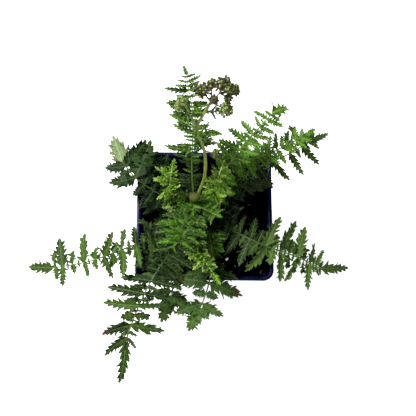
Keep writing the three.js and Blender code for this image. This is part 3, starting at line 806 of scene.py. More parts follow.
@dataclass(frozen=True)
class LeafletPattern:
    """The cut outline of a leaflet, on a length of one and a half breadth of one.

    Attributes:
        teeth: The teeth on each side.
        depth: How far in the notches reach, as a share of the half breadth.
        back: How full a tooth's back is halfway to its point, from 0 to 1.
        neck: Its breadth at its root, as a share of its full breadth.
        base: Where the leaflet reaches its full breadth.
        taper: How fast it narrows to its tip.
        lean: How far past the next notch a tooth's point reaches, as a share of a tooth's own stretch.
        paired: How far every second notch and tooth falls short, which groups the teeth in lobes of two.
        ragged: How unlike each other its teeth are.
        first: Where the first notch lies along the leaflet.
        last: Where the last notch lies.
        thickness: The blade's thickness, as a share of the leaflet's length.
    """

    teeth: int
    depth: float
    back: float
    base: float
    neck: float
    taper: float
    lean: float
    paired: float
    ragged: float
    first: float = 0.05
    last: float = 0.84
    thickness: float = 0.02

    # The root's breadth over the first notch's, the furthest that a point reaches along the leaflet, where
    # between the last notch and the end its tip turns in, how broad the tip is there, and how near to the
    # middle rib a point counts as on it
    ROOT_BREADTH = 0.6
    LAST_POINT = 0.98
    TIP_START = 0.6
    TIP_BREADTH = 0.4
    ON_RIB = 1e-5

    def breadth(self, along: float) -> float:
        """The half breadth over the teeth at a share of the length."""
        swell = min(1.0, lerp(self.neck, 1.0, along / self.base))
        return swell * (1 - along) ** self.taper

    def model(self, name: str, seed: int) -> Piece:
        """Models one leaflet flat, from a plane: half of it is extruded tooth by tooth, then mirrored.

        Args:
            name: The piece's name.
            seed: The seed of the draws that set its teeth apart from the next leaflet's.

        Returns:
            The leaflet, from x 0 at its root to x 1 at its tip, with its upper side up.
        """
        piece = primitive(name, bpy.ops.mesh.primitive_plane_add, size=1, location=(0, 0, 0))
        pitch = (self.last - self.first) / self.teeth
        notches = [self.first + k * pitch for k in range(self.teeth + 1)]
        short = [1 - self.paired * (k % 2) for k in range(self.teeth + 1)]
        inner = [(u, self.breadth(u) * (1 - self.depth * f)) for u, f in zip(notches, short)]
        foot = [(0.0, 0.0), (inner[0][0], 0.0), (0.0, inner[0][1] * self.ROOT_BREADTH), inner[0]]
        for vertex, (x, y) in zip(piece.data.vertices, foot):
            vertex.co = (x, y, 0)
        with editing(piece):
            for (x0, y0), (x1, y1), reach in zip(inner, inner[1:], short):
                self.extrude_edge(piece, ((x0, 0), (x0, y0)), ((x1, 0), (x1, y1)))
                point = min(x1 + self.lean * pitch, self.LAST_POINT)
                shoulder = (x0 + point) / 2
                low = (y0 + y1) / 2
                full = lerp(low, self.breadth(shoulder), self.back * reach)
                tip = (point, lerp(low, self.breadth(point), reach))
                self.extrude_edge(piece, ((x0, y0), (x1, y1)), ((shoulder, full), tip))
            x0, y0 = inner[-1]
            end = lerp(x0, 1, self.TIP_START)
            blunt = self.breadth(end) * self.TIP_BREADTH
            self.extrude_edge(piece, ((x0, 0), (x0, y0)), ((1.0, 0), (end, blunt)))
        mirror = piece.modifiers.new("Other half", "MIRROR")
        mirror.use_axis = (False, True, False)
        mirror.merge_threshold = self.ON_RIB
        finish_modifiers(piece)
        mend(piece, 0.01)
        self.face_up(piece)
        self.roughen(piece, Draws(seed), pitch)
        self.lay_uv(piece)
        for _ in (Skin.UPPER, Skin.UNDER):
            piece.data.materials.append(None)
        wall = piece.modifiers.new("Blade", "SOLIDIFY")
        wall.thickness = self.thickness
        wall.offset = 0
        wall.material_offset = Skin.UNDER
        wall.material_offset_rim = Skin.UPPER
        finish_modifiers(piece)
        return piece

    def roughen(self, piece: Piece, draws: Draws, pitch: float) -> None:
        """Makes the teeth of a flat leaflet unlike each other, and tilts each a little.

        Args:
            piece: The leaflet.
            draws: The draws for it.
            pitch: The distance from one notch to the next.
        """
        TILT = 0.12
        ALONG = 0.55
        NARROWEST = 0.05
        for vertex in piece.data.vertices:
            place = vertex.co
            if abs(place.y) < self.ON_RIB:
                continue
            outward = abs(place.y) / max(self.breadth(place.x), NARROWEST)
            place.x += draws.stray(self.ragged * pitch * ALONG) * outward
            place.y *= 1 + draws.stray(self.ragged) * outward**2
            place.z += draws.stray(TILT) * outward

    @staticmethod
    def extrude_edge(piece: Piece, edge: Sequence[Point], places: Sequence[Point]) -> None:
        """Extrudes an edge of a flat piece under edit.

        Args:
            piece: The piece.
            edge: The edge's two ends.
            places: Where its new ends go.
        """
        NEAR = 1e-4
        bpy.ops.mesh.select_mode(type="VERT")
        bpy.ops.mesh.select_all(action="DESELECT")
        mesh = edit_mesh(piece)
        ends = []
        for x, y in edge:
            spot = Vector((x, y, 0))
            ends.append(next(v for v in mesh.verts if (v.co - spot).length < NEAR))
        for vertex in ends:
            vertex.select = True
        mesh.select_flush(True)
        indices = [v.index for v in ends]
        bmesh.update_edit_mesh(piece.data)
        bpy.ops.mesh.extrude_edges_move()
        mesh = edit_mesh(piece)
        for index, (x, y) in zip(indices, places):
            grown_from(mesh, index).co = (x, y, 0)
        bmesh.update_edit_mesh(piece.data)

    @staticmethod
    def face_up(piece: Piece) -> None:
        """Turns a flat sheet's faces to the sky."""
        if sum(face.normal.z for face in piece.data.polygons) < 0:
            with editing(piece, selected=True):
                bpy.ops.mesh.flip_normals()

    @staticmethod
    def lay_uv(piece: Piece) -> None:
        """Writes the place along and across the leaflet to its own UV map."""
        mesh = piece.data
        while mesh.uv_layers:
            mesh.uv_layers.remove(mesh.uv_layers[0])
        layer = mesh.uv_layers.new(name="leaflet")
        for loop, uv in zip(mesh.loops, layer.uv):
            place = mesh.vertices[loop.vertex_index].co
            uv.vector = (place.x, 0.5 + place.y / 2)


@dataclass(frozen=True, kw_only=True)
class Habit:
    """How a kind of leaf holds its leaflets. What comes before fold is as in the part's source.

    Attributes:
        width: Half a leaflet's breadth between its teeth, as a share of its length.
        spread: The leaflets' angle from the spine at the leaf's base and at its tip.
        rise: Their angle above the leaf's plane.
        droop: How far a leaflet arches down, as a share of its length.
        sweep: How far it bends towards the leaf's tip.
        face: How far it turns its upper side to the sky.
        loose: How far its angles wander.
        twist: How far it rolls.
        start: Where on the spine the leaflets begin.
        foot: The length of their roots.
        lengths: The shares of full length at the leaf's base and at its tip.
        spurs: True where small leaflets grow between the pairs.
        tip_width: The width of the leaflet at the tip, where it differs.
        fold: How far a leaflet is folded up along its rib.
        extra: The length of the leaflets that only the finer piece has between two pairs, as a share.
        fullness: How many times as broad the finer leaflets are.
        wander: How far the angles of the finer leaflets wander besides.
        tumble: How far they roll besides.
        extras: The number of pairs that only the finer piece has between two others.
    """

    width: float
    spread: Range
    rise: float
    droop: float
    sweep: float
    face: float
    loose: float
    twist: float
    start: float
    foot: float
    lengths: Range
    spurs: bool = False
    tip_width: float | None = None
    fold: float = 0.2
    extra: float
    fullness: float
    wander: float
    tumble: float
    extras: int = 1


class Kind(Enum):
    """The kinds of leaf on the plant."""

    MATURE = Habit(
        width=0.1, spread=(88, 74), rise=0, droop=0.14, sweep=0.08, face=0, loose=10, twist=26, start=0.3,
        foot=1.6, lengths=(0.8, 0.75), spurs=True, fold=0.4, extra=0.4, fullness=1.3, wander=12, tumble=55,
    )
    CLOSE = Habit(
        width=0.1, spread=(84, 60), rise=3, droop=0.1, sweep=0.06, face=0.4, loose=6, twist=20, start=0.3,
        foot=1.5, lengths=(0.8, 0.7), fold=0.5, extra=0.8, extras=2, fullness=1.45, wander=24, tumble=65,
    )
    BROAD = Habit(
        width=0.15, spread=(84, 62), rise=0, droop=0.16, sweep=0.05, face=0, loose=12, twist=14, start=0.5,
        foot=2.4, lengths=(0.9, 0.8), tip_width=0.24, extra=0.35, fullness=1.25, wander=10, tumble=16,
    )
    YOUNG = Habit(
        width=0.14, spread=(80, 56), rise=12, droop=-0.08, sweep=0.1, face=0.6, loose=6, twist=20,
        start=0.42, foot=1.3, lengths=(0.7, 0.6), fold=0.5, extra=0.9, extras=2, fullness=1.1, wander=64,
        tumble=120,
    )


PATTERNS = {
    Kind.MATURE: LeafletPattern(
        teeth=5, depth=0.68, back=0.55, base=0.1, neck=0.85, taper=0.36, lean=0.3, paired=0.2, ragged=0.6
    ),
    Kind.CLOSE: LeafletPattern(
        teeth=5, depth=0.72, back=0.45, base=0.12, neck=0.7, taper=0.4, lean=0.35, paired=0.1, ragged=0.7
    ),
    Kind.BROAD: LeafletPattern(
        teeth=6, depth=0.72, back=0.6, base=0.3, neck=0.35, taper=0.5, lean=0.4, paired=0.45, ragged=0.6
    ),
    Kind.YOUNG: LeafletPattern(
        teeth=4, depth=0.8, back=0.4, base=0.15, neck=0.7, taper=0.4, lean=0.25, paired=0.1, ragged=0.9
    ),
}

# How many leaflets of each pattern are modelled, and the seed of the first
VARIANTS = 6
LEAFLET_SEED = 501


class Order(Enum):
    """What a pair of leaflets is among the others of its leaf."""

    FULL = "a full pair"
    SPUR = "a small pair between two full ones"
    EXTRA = "a pair between two others that only the finer piece has"
    LOWER = "a pair below the first one that only the finer piece has"


@dataclass(frozen=True)
class Pair:
    """Two leaflets that stand opposite each other on a leaf's spine.

    Attributes:
        share: Where on the spine they stand.
        right: The length and the angle of the one to the right.
        left: The length and the angle of the one to the left.
        order: What the pair is among the others.
    """

    share: float
    right: Range
    left: Range
    order: Order = Order.FULL

    def towards(self, other: "Pair", at: float, order: Order, size: float = 1.0) -> "Pair":
        """A pair on the way to another one.

        Args:
            other: The other pair.
            at: The share of the way.
            order: What the new pair is among the others.
            size: Its length, over the one between theirs.

        Returns:
            The new pair.
        """
        sides = [
            (lerp(a[0], b[0], at) * size, lerp(a[1], b[1], at))
            for a, b in ((self.right, other.right), (self.left, other.left))
        ]
        return Pair(lerp(self.share, other.share, at), *sides, order)

    def is_finer(self) -> bool:
        """True where the part's source doesn't have the pair."""
        return self.order in (Order.EXTRA, Order.LOWER)


# The small lobed leaflet between two pairs, about as broad as it is long
SPUR_PATTERN = LeafletPattern(
    teeth=3, depth=0.6, back=0.75, base=0.4, neck=0.4, taper=0.3, lean=0.1, paired=0.2, ragged=0.6
)

Models = dict[Kind | Order, list[Piece]]

# The tint of what is neither older nor fresher than the rest
EVEN_TINT = 0.5

# The small leaflets between two pairs, as in the part's source
SPUR_SHARE = 0.34
LONGEST_SPUR = 7.0
SPUR_BREADTH = 1.8
SPUR_ROOM = 9.5


@dataclass(frozen=True)
class LeafShape:
    """One leaf of the plant.

    Attributes:
        name: The leaf's node.
        kind: How it holds its leaflets.
        route: From the soil's surface to the root of the leaflet at its tip, in millimetres.
        tip: The length of the leaflet at its tip.
        seed: The seed of its random draws.
        leaflets: A measured leaf's pairs: the share of the spine, the length and angle to the right, and
            those to the left.
        pairs: A regular leaf's number of pairs.
        longest: A regular leaf's longest leaflets to the right and to the left.
        turn: How far the leaflet at the tip turns to the right.
        bend: How far that leaflet bends to the right, as a share of its length.
        thick: The stalk's thickness, as a share of a usual one's.
        rooted: False for a leaf that grows from a stem.
        turned_over: True where the leaflet at the tip shows its pale underside.
        tone_and_light: How much lighter its green is than that of its kind, from -1 to 1: partly the leaf's
        own tone, partly painted light and painted shade, set leaf by leaf.
        dry: The numbers of the leaflets with a dry tip, counted from the leaf's base.
        below: The pairs that only the finer piece has, lower on the spine: their number, the share of the
            spine at the lowest of them, and the length of the highest in millimetres.
        change: What differs from the habit of its kind.
    """

    name: str
    kind: Kind
    route: Sequence[Point]
    tip: float
    seed: int
    leaflets: Sequence[Point] = ()
    pairs: int = 0
    longest: Range = (0, 0)
    turn: float = 0
    bend: float = 0
    thick: float = 1
    rooted: bool = True
    turned_over: bool = False
    tone_and_light: float = 0.0
    dry: tuple[int, ...] = ()
    below: tuple[int, float, float] = (0, 0.0, 0.0)
    change: dict[str, object] = field(default_factory=dict)


# A leaf's freshness is partly its own tone and partly painted light and shade: leaves that lie in the
# shadow of others are painted lighter
LEAVES = [
    LeafShape(
        "leaf_east", Kind.MATURE,
        [(8, -6, SOIL_TOP), (11.5, -10, 100), (28.5, -20, 109), (38, -24.5, 110), (58, -30.5, 104),
         (74.5, -37, 96)],
        tip=24, turn=-24, tone_and_light=0.4, seed=11, below=(10, 0.16, 17),
        leaflets=[
            (0.385, 10, 96, 11, 110), (0.45, 17, 104, 14, 116), (0.52, 19, 92, 17, 106),
            (0.62, 21, 106, 22, 92), (0.71, 20, 76, 23, 84), (0.82, 18, 96, 22, 98),
            (0.91, 18, 74, 14, 98), (0.955, 7, 60, 13, 88),
        ],
    ),
    LeafShape(
        "leaf_west", Kind.MATURE,
        [(-14, -5.5, SOIL_TOP), (-28, -17, 103), (-42, -23.5, 110), (-50.5, -27, 111),
         (-70.5, -33.5, 107), (-96.5, -36.5, 96)],
        tip=22, turn=12, tone_and_light=0.35, seed=23, change={"fullness": 1.65}, below=(10, 0.14, 15),
        leaflets=[
            (0.42, 13, 100, 12, 80), (0.5, 13, 106, 15, 78), (0.58, 14, 116, 17, 86),
            (0.68, 17, 136, 15, 98), (0.795, 19, 90, 10, 104), (0.93, 20, 84, 13, 88),
        ],
    ),
    LeafShape(
        "leaf_southwest", Kind.MATURE,
        [(-11, -10.5, SOIL_TOP), (-24.5, -32, 103), (-35, -50, 106), (-40, -60.5, 104),
         (-45, -72, 99), (-49, -84, 95)],
        tip=28, turn=-16, bend=0.16, tone_and_light=-0.05, seed=37, below=(11, 0.16, 17),
        leaflets=[
            (0.52, 16, 76, 14, 104), (0.59, 21, 66, 18, 108), (0.675, 25, 74, 17, 108),
            (0.75, 24, 70, 18, 116), (0.875, 24, 56, 22, 94), (0.955, 20, 46, 10, 60),
        ],
    ),
    LeafShape(
        "leaf_south", Kind.BROAD,
        [(-5.5, -13, SOIL_TOP), (-9.5, -21, 86), (-16, -35, 91), (-19, -45.5, 92), (-22, -55.5, 91)],
        tip=18, turn=4, tone_and_light=0.7, seed=41, below=(4, 0.3, 13),
        leaflets=[(0.77, 16, 80, 17, 92), (0.91, 15, 64, 19, 64)],
    ),
    LeafShape(
        "leaf_southeast", Kind.BROAD,
        [(2, -12.5, SOIL_TOP), (4.5, -32, 92), (3, -46, 99), (-0.5, -57, 98), (-4, -64, 96)],
        tip=16, tone_and_light=0.6, dry=(9,), seed=53, below=(4, 0.3, 15),
        leaflets=[(0.72, 26, 94, 24, 85), (0.91, 20, 54, 17, 80)],
    ),
    LeafShape(
        "leaf_northeast", Kind.CLOSE,
        [(1, 9.5, SOIL_TOP), (11, 17, 124), (23.5, 30.5, 143), (32, 40, 143), (41.5, 51.5, 140)],
        tip=11, turn=22, tone_and_light=0.25, seed=61, below=(5, 0.34, 9),
        change={"fullness": 1.85, "extras": 1, "tumble": 24, "wander": 12, "fold": 0.3, "extra": 0.4,
                "tip_width": 0.2},
        leaflets=[
            (0.6, 10, 64, 14, 104), (0.66, 11, 62, 15, 104), (0.715, 12, 72, 15, 98),
            (0.77, 11, 74, 14, 86), (0.82, 11, 68, 12, 82), (0.88, 10, 80, 8, 68),
            (0.945, 11, 88, 10, 88),
        ],
    ),
    LeafShape(
        "leaf_northeast_fine", Kind.CLOSE,
        [(4.5, 5.5, SOIL_TOP), (17.5, 26, 112), (35.5, 29, 124), (48.5, 34, 127), (61.5, 41, 126)],
        tip=11, turn=-8, tone_and_light=0.9, seed=67, below=(7, 0.15, 12), pairs=11, longest=(13, 13),
        change={"fullness": 1.6, "extras": 1, "tumble": 45, "wander": 40, "extra": 0.6},
    ),
    LeafShape(
        "leaf_east_northeast", Kind.MATURE,
        [(9, 8, SOIL_TOP), (24.5, 21, 107), (42.5, 28.5, 115), (54, 33.5, 115), (62, 39, 113),
         (69, 43.5, 110)],
        tip=18, seed=71, below=(4, 0.18, 12), change={"spurs": False, "extra": 0.34},
        leaflets=[
            (0.4, 15, 80, 15, 98), (0.49, 16, 80, 18, 100), (0.59, 17, 78, 18, 100),
            (0.685, 17, 78, 15, 90), (0.81, 17, 90, 18, 74), (0.91, 17, 88, 18, 86),
            (0.965, 9, 54, 14, 44),
        ],
    ),
    LeafShape(
        "leaf_east_low", Kind.BROAD,
        [(12, 3, SOIL_TOP), (18.5, 15, 86), (26, 20, 91), (31, 21, 93)],
        tip=14, turn=26, tone_and_light=-0.3, seed=83, below=(2, 0.4, 9), change={"width": 0.19},
        leaflets=[(0.74, 10, 104, 11, 96), (0.92, 10, 84, 11, 66)],
    ),
    LeafShape(
        "leaf_northwest", Kind.BROAD,
        [(-15, 7, SOIL_TOP), (-22, 9, 92), (-35, 14.5, 101), (-45, 21.5, 105), (-49.5, 27, 105),
         (-53, 32, 104)],
        tip=20, turn=14, tone_and_light=-0.35, seed=97, turned_over=True, below=(5, 0.28, 14),
        change={"fullness": 1.55, "tip_width": 0.16},
        leaflets=[(0.79, 29, 78, 18, 64), (0.93, 23, 74, 16, 54)],
    ),
    LeafShape(
        "leaf_north_low", Kind.BROAD,
        [(-8.5, 11.5, SOIL_TOP), (-21.5, 23, 90), (-27, 28, 94), (-30, 31, 95)],
        tip=13, turn=12, tone_and_light=-0.35, seed=101, below=(3, 0.36, 10),
        leaflets=[(0.74, 12, 66, 12, 74), (0.9, 13, 62, 11, 60)],
    ),
    LeafShape(
        "leaf_west_low", Kind.BROAD,
        [(-17.5, 0.5, SOIL_TOP), (-25, 3.5, 85), (-31, 6, 89), (-35, 8, 91)],
        tip=11, turn=34, tone_and_light=-0.4, seed=113, below=(3, 0.3, 9),
        leaflets=[(0.66, 10, 80, 10, 84), (0.88, 10, 72, 11, 74)],
    ),
    LeafShape(
        "young_northwest", Kind.YOUNG,
        [(-11, 1.5, SOIL_TOP), (-17.5, 4, 105), (-20.5, 9, 124), (-20, 12.5, 137), (-18, 16, 148)],
        tip=9, seed=127, below=(8, 0.14, 11), pairs=7, longest=(7, 12),
    ),
    LeafShape(
        "young_northeast", Kind.YOUNG,
        [(5, 0.5, SOIL_TOP), (4.5, 7, 104), (6, 9.5, 124), (8.5, 12, 138), (10.5, 15.5, 147)],
        tip=8, seed=131, below=(5, 0.14, 8), pairs=7, longest=(11, 7),
    ),
    LeafShape(
        "young_south", Kind.YOUNG,
        [(-2, -7, SOIL_TOP), (-4.5, -18.5, 112), (-3.5, -31.5, 130), (2, -40, 136), (6, -45.5, 132)],
        tip=8, tone_and_light=-0.25, seed=151, below=(8, 0.16, 9), pairs=7, longest=(9, 7),
        change={"start": 0.55, "extras": 3, "fullness": 1.6},
    ),
    LeafShape(
        "leaf_southwest_fine", Kind.CLOSE,
        [(-8, -4.5, SOIL_TOP), (-9.5, -5, 112), (-9.5, -14, 132), (-11, -22, 140), (-14, -27.5, 141),
         (-20, -30.5, 138)],
        tip=11, turn=18, seed=149, below=(9, 0.2, 13), change={"rise": 6},
        leaflets=[
            (0.6, 12, 94, 10, 86), (0.67, 15, 92, 11, 86), (0.74, 16, 84, 12, 90),
            (0.805, 19, 78, 13, 88), (0.86, 17, 70, 12, 94), (0.915, 14, 62, 10, 94),
        ],
    ),
    LeafShape(
        "leaf_south_fine", Kind.CLOSE,
        [(4.5, -9.5, SOIL_TOP), (3.5, -12, 98), (4, -21, 112), (5, -30, 115)],
        tip=10, seed=157, below=(4, 0.25, 8), pairs=7, longest=(6, 11), change={"start": 0.5},
    ),
    LeafShape(
        "leaf_centre", Kind.CLOSE,
        [(0.5, -1.5, SOIL_TOP), (1, -2, 103), (3, -5, 118), (8, -9, 128)],
        tip=7, seed=163, below=(9, 0.16, 15), pairs=7, longest=(10, 10), change={"start": 0.42},
    ),
]

STEM_LEAF = LeafShape(
    "stem_leaf", Kind.CLOSE,
    [(-6.5, 3, 118), (-7, 15.5, 150), (-6, 31, 166), (-6.5, 42.5, 175), (-8.5, 51, 181), (-9, 57, 183)],
    tip=6, turn=-16, thick=0.7, tone_and_light=-0.1, seed=173, rooted=False, below=(7, 0.05, 8),
    change={"foot": 1.2, "twist": 10, "width": 0.085, "tip_width": 0.14, "fold": 0.4, "extra": 0.75,
            "extras": 1, "fullness": 1.65, "wander": 16, "tumble": 34},
    leaflets=[
        (0.33, 5, 70, 6, 60), (0.41, 7, 76, 8, 76), (0.46, 7, 76, 11, 86), (0.515, 7, 80, 16, 98),
        (0.57, 15, 94, 5, 84), (0.625, 15, 94, 13, 68), (0.705, 7, 82, 14, 72),
        (0.77, 13, 100, 14, 78), (0.82, 10, 94, 15, 80), (0.9, 12, 86, 14, 72), (0.95, 9, 74, 6, 76),
    ],
)

BRACTS = [
    LeafShape(
        "bract", Kind.CLOSE, route, tip=8, seed=seed, thick=0.75, rooted=False,
        leaflets=[(0.55, 5, 60, 5, 60)], change={"extra": 0.8},
    )
    for route, seed in (
        ([(-3.2, 22.7, 189), (-8, 25, 192), (-12, 27, 193)], 181),
        ([(-3.2, 22.9, 190), (0.8, 22.9, 191), (4, 22.2, 190)], 191),
        ([(0.8, 26.6, 205), (4.4, 26.6, 206), (7, 27.2, 205)], 193),
    )
]

# Small leaves at the older stem's joint and at the shoot's forks, which only the finer piece has
JOINT_LEAVES = [
    LeafShape(
        "joint_leaf", Kind.CLOSE, route, tip=long, seed=seed, thick=0.6, rooted=False, pairs=5,
        longest=(long, long), tone_and_light=0.3, change={"start": 0.2, "fullness": 1.4, "extras": 1},
    )
    for long, seed, route in (
        (6, 211, [(-6.5, 1.5, 108), (-6.6, -1.5, 121), (-6.6, -6, 125)]),
        (6, 223, [(-5, 1.5, 108), (-3, -1, 118), (1, -4, 121)]),
        (6, 227, [(-8, 1.5, 108), (-10.5, -1, 118), (-14, -3.5, 121)]),
        (7, 229, [(-6.5, 1, 102), (-5.6, -4.5, 112), (-5.5, -11, 115)]),
        (6, 233, [(-4.8, 3, 110), (-1, 3.5, 117), (3, 2, 119)]),
        (6, 239, [(-8.5, 3, 110), (-12, 3.5, 117), (-15, 2.5, 119)]),
        (2.5, 241, [(-3.4, 22.5, 188), (-5.5, 21, 191), (-7.5, 20.5, 191.5)]),
        (2.5, 251, [(-3.2, 22.5, 188), (-2.8, 19.8, 191), (-2.8, 18, 191)]),
        (2.5, 257, [(-3.2, 23, 189), (-4.4, 25.6, 192), (-5.5, 27.5, 192)]),
        (3.5, 263, [(0.6, 26.5, 204), (-2.5, 26.2, 205.5), (-5.5, 26, 205)]),
    )
]


def stalk(
    name: str, spine: Spine, radii: Callable[[float], float], steps: int, skin: Skin,
    squeeze: float = 1.0,
) -> Piece:
    """Extrudes a round stalk along a spine.

    Args:
        name: The piece's name.
        spine: The line it follows.
        radii: Its radius at a share of the spine, in millimetres.
        steps: How many stretches it has.
        skin: The material of its faces.
        squeeze: Its thickness over its breadth.

    Returns:
        The stalk, a closed skin.
    """
    SIDES = 8

    def ring(share: float) -> list[Vector]:
        """The stalk's ring at a share of the spine."""
        centre = spine.at(share)
        _, right, normal = spine.frame(share)
        radius = radii(share)
        turns = [2 * math.pi * k / SIDES for k in range(SIDES)]
        return [
            centre + right * (radius * math.cos(a)) + normal * (radius * squeeze * math.sin(a))
            for a in turns
        ]

    piece = ring_start(name, ring(0))
    extrude_rings(piece, (ring(k / steps) for k in range(1, steps + 1)))
    mend(piece)
    piece.data.polygons.foreach_set("material_index", [skin] * len(piece.data.polygons))
    tag(piece, "tint", EVEN_TINT)
    return piece


@dataclass
class Leaf:
    """A whole leaf: a stalk with pairs of toothed leaflets, and one at its tip.

    Attributes:
        shape: Its sizes.
        models: The leaflets that were modelled once.
        half_widths: Half its stalk's width, at its foot and at its tip.
        thickness: Its stalk's thickness over its width.
        dry_share: The share of leaflets with a dry tip.
        lower_shade: How much darker the lowest leaflets are painted: painted shade under the leaflets
            above,
        on leaflets that are also older.
    """

    shape: LeafShape
    models: Models
    half_widths: Range = (1.0, 0.4)
    thickness: float = 0.9
    dry_share: float = 0.02
    lower_shade: float = 0.5

    # The room before a regular leaf's first pair and after its last, over the room between two pairs, and
    # how far its leaflets' lengths stray, as in the part's source. The bends stray on every leaf.
    BEFORE = 0.35
    BEYOND = 0.95
    LENGTH_STRAY = 0.2
    BEND_STRAY = 0.24
    # Where the finer piece's own pairs stand beside a spur and after the last pair, as shares of the way to
    # the next, and their lengths over those of the pairs beside them
    BESIDE_SPUR = (0.25, 0.75)
    BESIDE_SPUR_LENGTH = 0.19
    AFTER_LAST = 0.6
    AFTER_LAST_LENGTH = 0.6

    def __post_init__(self) -> None:
        """Works out the leaf's habit and its spine, and starts its draws: the source's and its own."""
        OWN_DRAWS = 1000
        self.habit = replace(self.shape.kind.value, **self.shape.change)
        self.spine = Spine(self.shape.route, self.shape.rooted)
        self.draws = Draws(self.shape.seed)
        self.finer = Draws(self.shape.seed + OWN_DRAWS)
        self.parts: list[Piece] = []

    def even_pairs(self) -> list[Pair]:
        """The pairs of a regular leaf: evenly spaced, and longest in the leaf's middle."""
        habit, shape = self.habit, self.shape
        made = []
        for k in range(shape.pairs):
            along = (k + self.BEFORE) / (shape.pairs - 1 + self.BEFORE + self.BEYOND)
            shortest = habit.lengths[0] if along < 0.5 else habit.lengths[1]
            size = lerp(shortest, 1, math.sin(math.pi * along))
            sides = [(longest * size, lerp(*habit.spread, along)) for longest in shape.longest]
            made.append(Pair(lerp(habit.start, 1, along), *sides))
        return made

    def all_pairs(self) -> list[Pair]:
        """Every pair in the order of the spine, with the small ones between them."""
        habit, shape = self.habit, self.shape
        pairs = [Pair(s, (a, b), (c, d)) for s, a, b, c, d in shape.leaflets] or self.even_pairs()
        made = self.lower_pairs(pairs[0])
        for pair, after in zip(pairs, [*pairs[1:], None]):
            made.append(pair)
            if after is None:
                tip = Pair(1.0, pair.right, pair.left)
                made.append(pair.towards(tip, self.AFTER_LAST, Order.EXTRA, self.AFTER_LAST_LENGTH))
                continue
            roomy = (after.share - pair.share) * self.spine.length >= SPUR_ROOM
            if habit.spurs and roomy:
                made.append(pair.towards(after, 0.5, Order.SPUR))
                for at in self.BESIDE_SPUR:
                    made.append(pair.towards(after, at, Order.EXTRA, self.BESIDE_SPUR_LENGTH))
            elif habit.extra:
                for k in range(habit.extras):
                    at = (k + 1) / (habit.extras + 1)
                    made.append(pair.towards(after, at, Order.EXTRA, habit.extra))
        return made

    def lower_pairs(self, first: Pair) -> list[Pair]:
        """The smaller pairs below the first one, which only the finer piece has."""
        SMALLEST = 0.5
        count, lowest, longest = self.shape.below
        made = []
        for k in range(count):
            side = (longest * lerp(SMALLEST, 1, (k + 1) / count), self.habit.spread[0])
            made.append(Pair(lerp(lowest, first.share, k / count), side, side, Order.LOWER))
        return made

    def leaflet(
        self, root: Vector, direction: Vector, normal: Vector, length: float, width: float,
        sweep: float, stray: float = 0.0, short: bool = False, shade: float = 0.0,
    ) -> None:
        """Adds one leaflet, arched and bent.

        Args:
            root: Where it grows, in millimetres.
            direction: Where it points.
            normal: Out of its upper side.
            length: Its length in millimetres.
            width: Its half breadth, as a share of its length.
            sweep: How far it bends to its own right, as a share of its length.
            stray: How far that bend wanders.
            short: True for a small lobed leaflet, about as broad as it is long.
            shade: How much darker than the others it is painted, as painted shade.
        """
        # The breadth over the teeth, over that between them, and the half breadth at which a leaflet is as
        # thick as its model
        TOOTH_BREADTH, MODEL_REACH = 1.98, 0.2
        # How the blade leaves its plane: folded at the rib, cupped down, waving from side to side, and
        # ruffled along its edges. Folds and arches also draw it in.
        FOLDS, CUP, FOLD_DRAWN_IN, ARCH_DRAWN_IN = (0.3, 2.0), 0.8, 0.3, 0.3
        WAVE_STRAY, WAVE_PACE = 0.5, 5
        RUFFLES, RUFFLE_PACE, LATEST = (0.05, 0.3), 16, 6

        habit, draws = self.habit, self.finer
        across = direction.cross(normal).normalized()
        out = across.cross(direction)
        axes = np.array([direction, across, out])
        fold = habit.fold * draws.within(*FOLDS)
        wave = draws.stray(WAVE_STRAY)
        sweep += draws.stray(stray)
        ruffle = draws.within(*RUFFLES)
        phase = LATEST * draws.next()
        reach = width * TOOTH_BREADTH * habit.fullness
        models = self.models[Order.SPUR if short else self.shape.kind]
        model = models[int(draws.next() * len(models)) % len(models)]

        def shape(points: np.ndarray) -> np.ndarray:
            """The model's points, arched, folded and waved, at their places on the leaf."""
            u, side, lift = points.T
            v = side * reach
            edge = np.abs(v)
            along = u * (1 - ARCH_DRAWN_IN * abs(habit.droop) * u * u)
            aside = v * (1 - FOLD_DRAWN_IN * fold) + sweep * u * u
            height = lift * reach / MODEL_REACH - habit.droop * u * u + fold * edge - CUP * edge**2
            height = height + wave * v * np.sin(WAVE_PACE * u)
            height = height + ruffle * edge * np.sin(RUFFLE_PACE * u + phase)
            places = np.stack([along, aside, height], axis=1)
            return (np.array(root) + length * places @ axes) * MM

        twin = copy_of(model, shape)
        # The tint is a random tone, plus the leaf's freshness with its painted light and shade, less the
        # painted shade of the lowest leaflets
        tag(twin, "tint", draws.next() + self.shape.tone_and_light - shade)
        withered = len(self.parts) in self.shape.dry or draws.next() < self.dry_share
        tag(twin, "dry", float(withered))
        self.parts.append(twin)

    def grow_pair(self, pair: Pair) -> None:
        """Adds the two leaflets of a pair, drawing the same numbers as the part's source does."""
        SPUR_FOOT = 0.5
        habit, finer = self.habit, self.finer
        measured = bool(self.shape.leaflets)
        short = pair.order is Order.SPUR
        draws = finer if pair.is_finer() else self.draws
        centre = self.spine.at(pair.share)
        foot = habit.foot * (SPUR_FOOT if short else 1)
        ahead, right, normal = self.spine.frame(pair.share - foot / 2 / self.spine.length)
        for sign, (length, angle) in ((1, pair.right), (-1, pair.left)):
            spread = angle + draws.stray(0 if measured else habit.loose)
            rise = habit.rise + draws.stray(habit.loose)
            roll = math.radians(draws.stray(habit.twist) + finer.stray(habit.tumble))
            if not measured:
                length *= 1 + draws.stray(self.LENGTH_STRAY)
            spread = math.radians(spread + finer.stray(habit.wander))
            rise = math.radians(rise + finer.stray(habit.wander))
            flat = ahead * math.cos(spread) + right * (sign * math.sin(spread))
            direction = flat * math.cos(rise) + normal * math.sin(rise)
            upper = normal.lerp(UP, habit.face)
            upper = (upper - direction * upper.dot(direction)).normalized()
            upper = Quaternion(direction, roll) @ upper
            length, width = self.sized(pair, length)
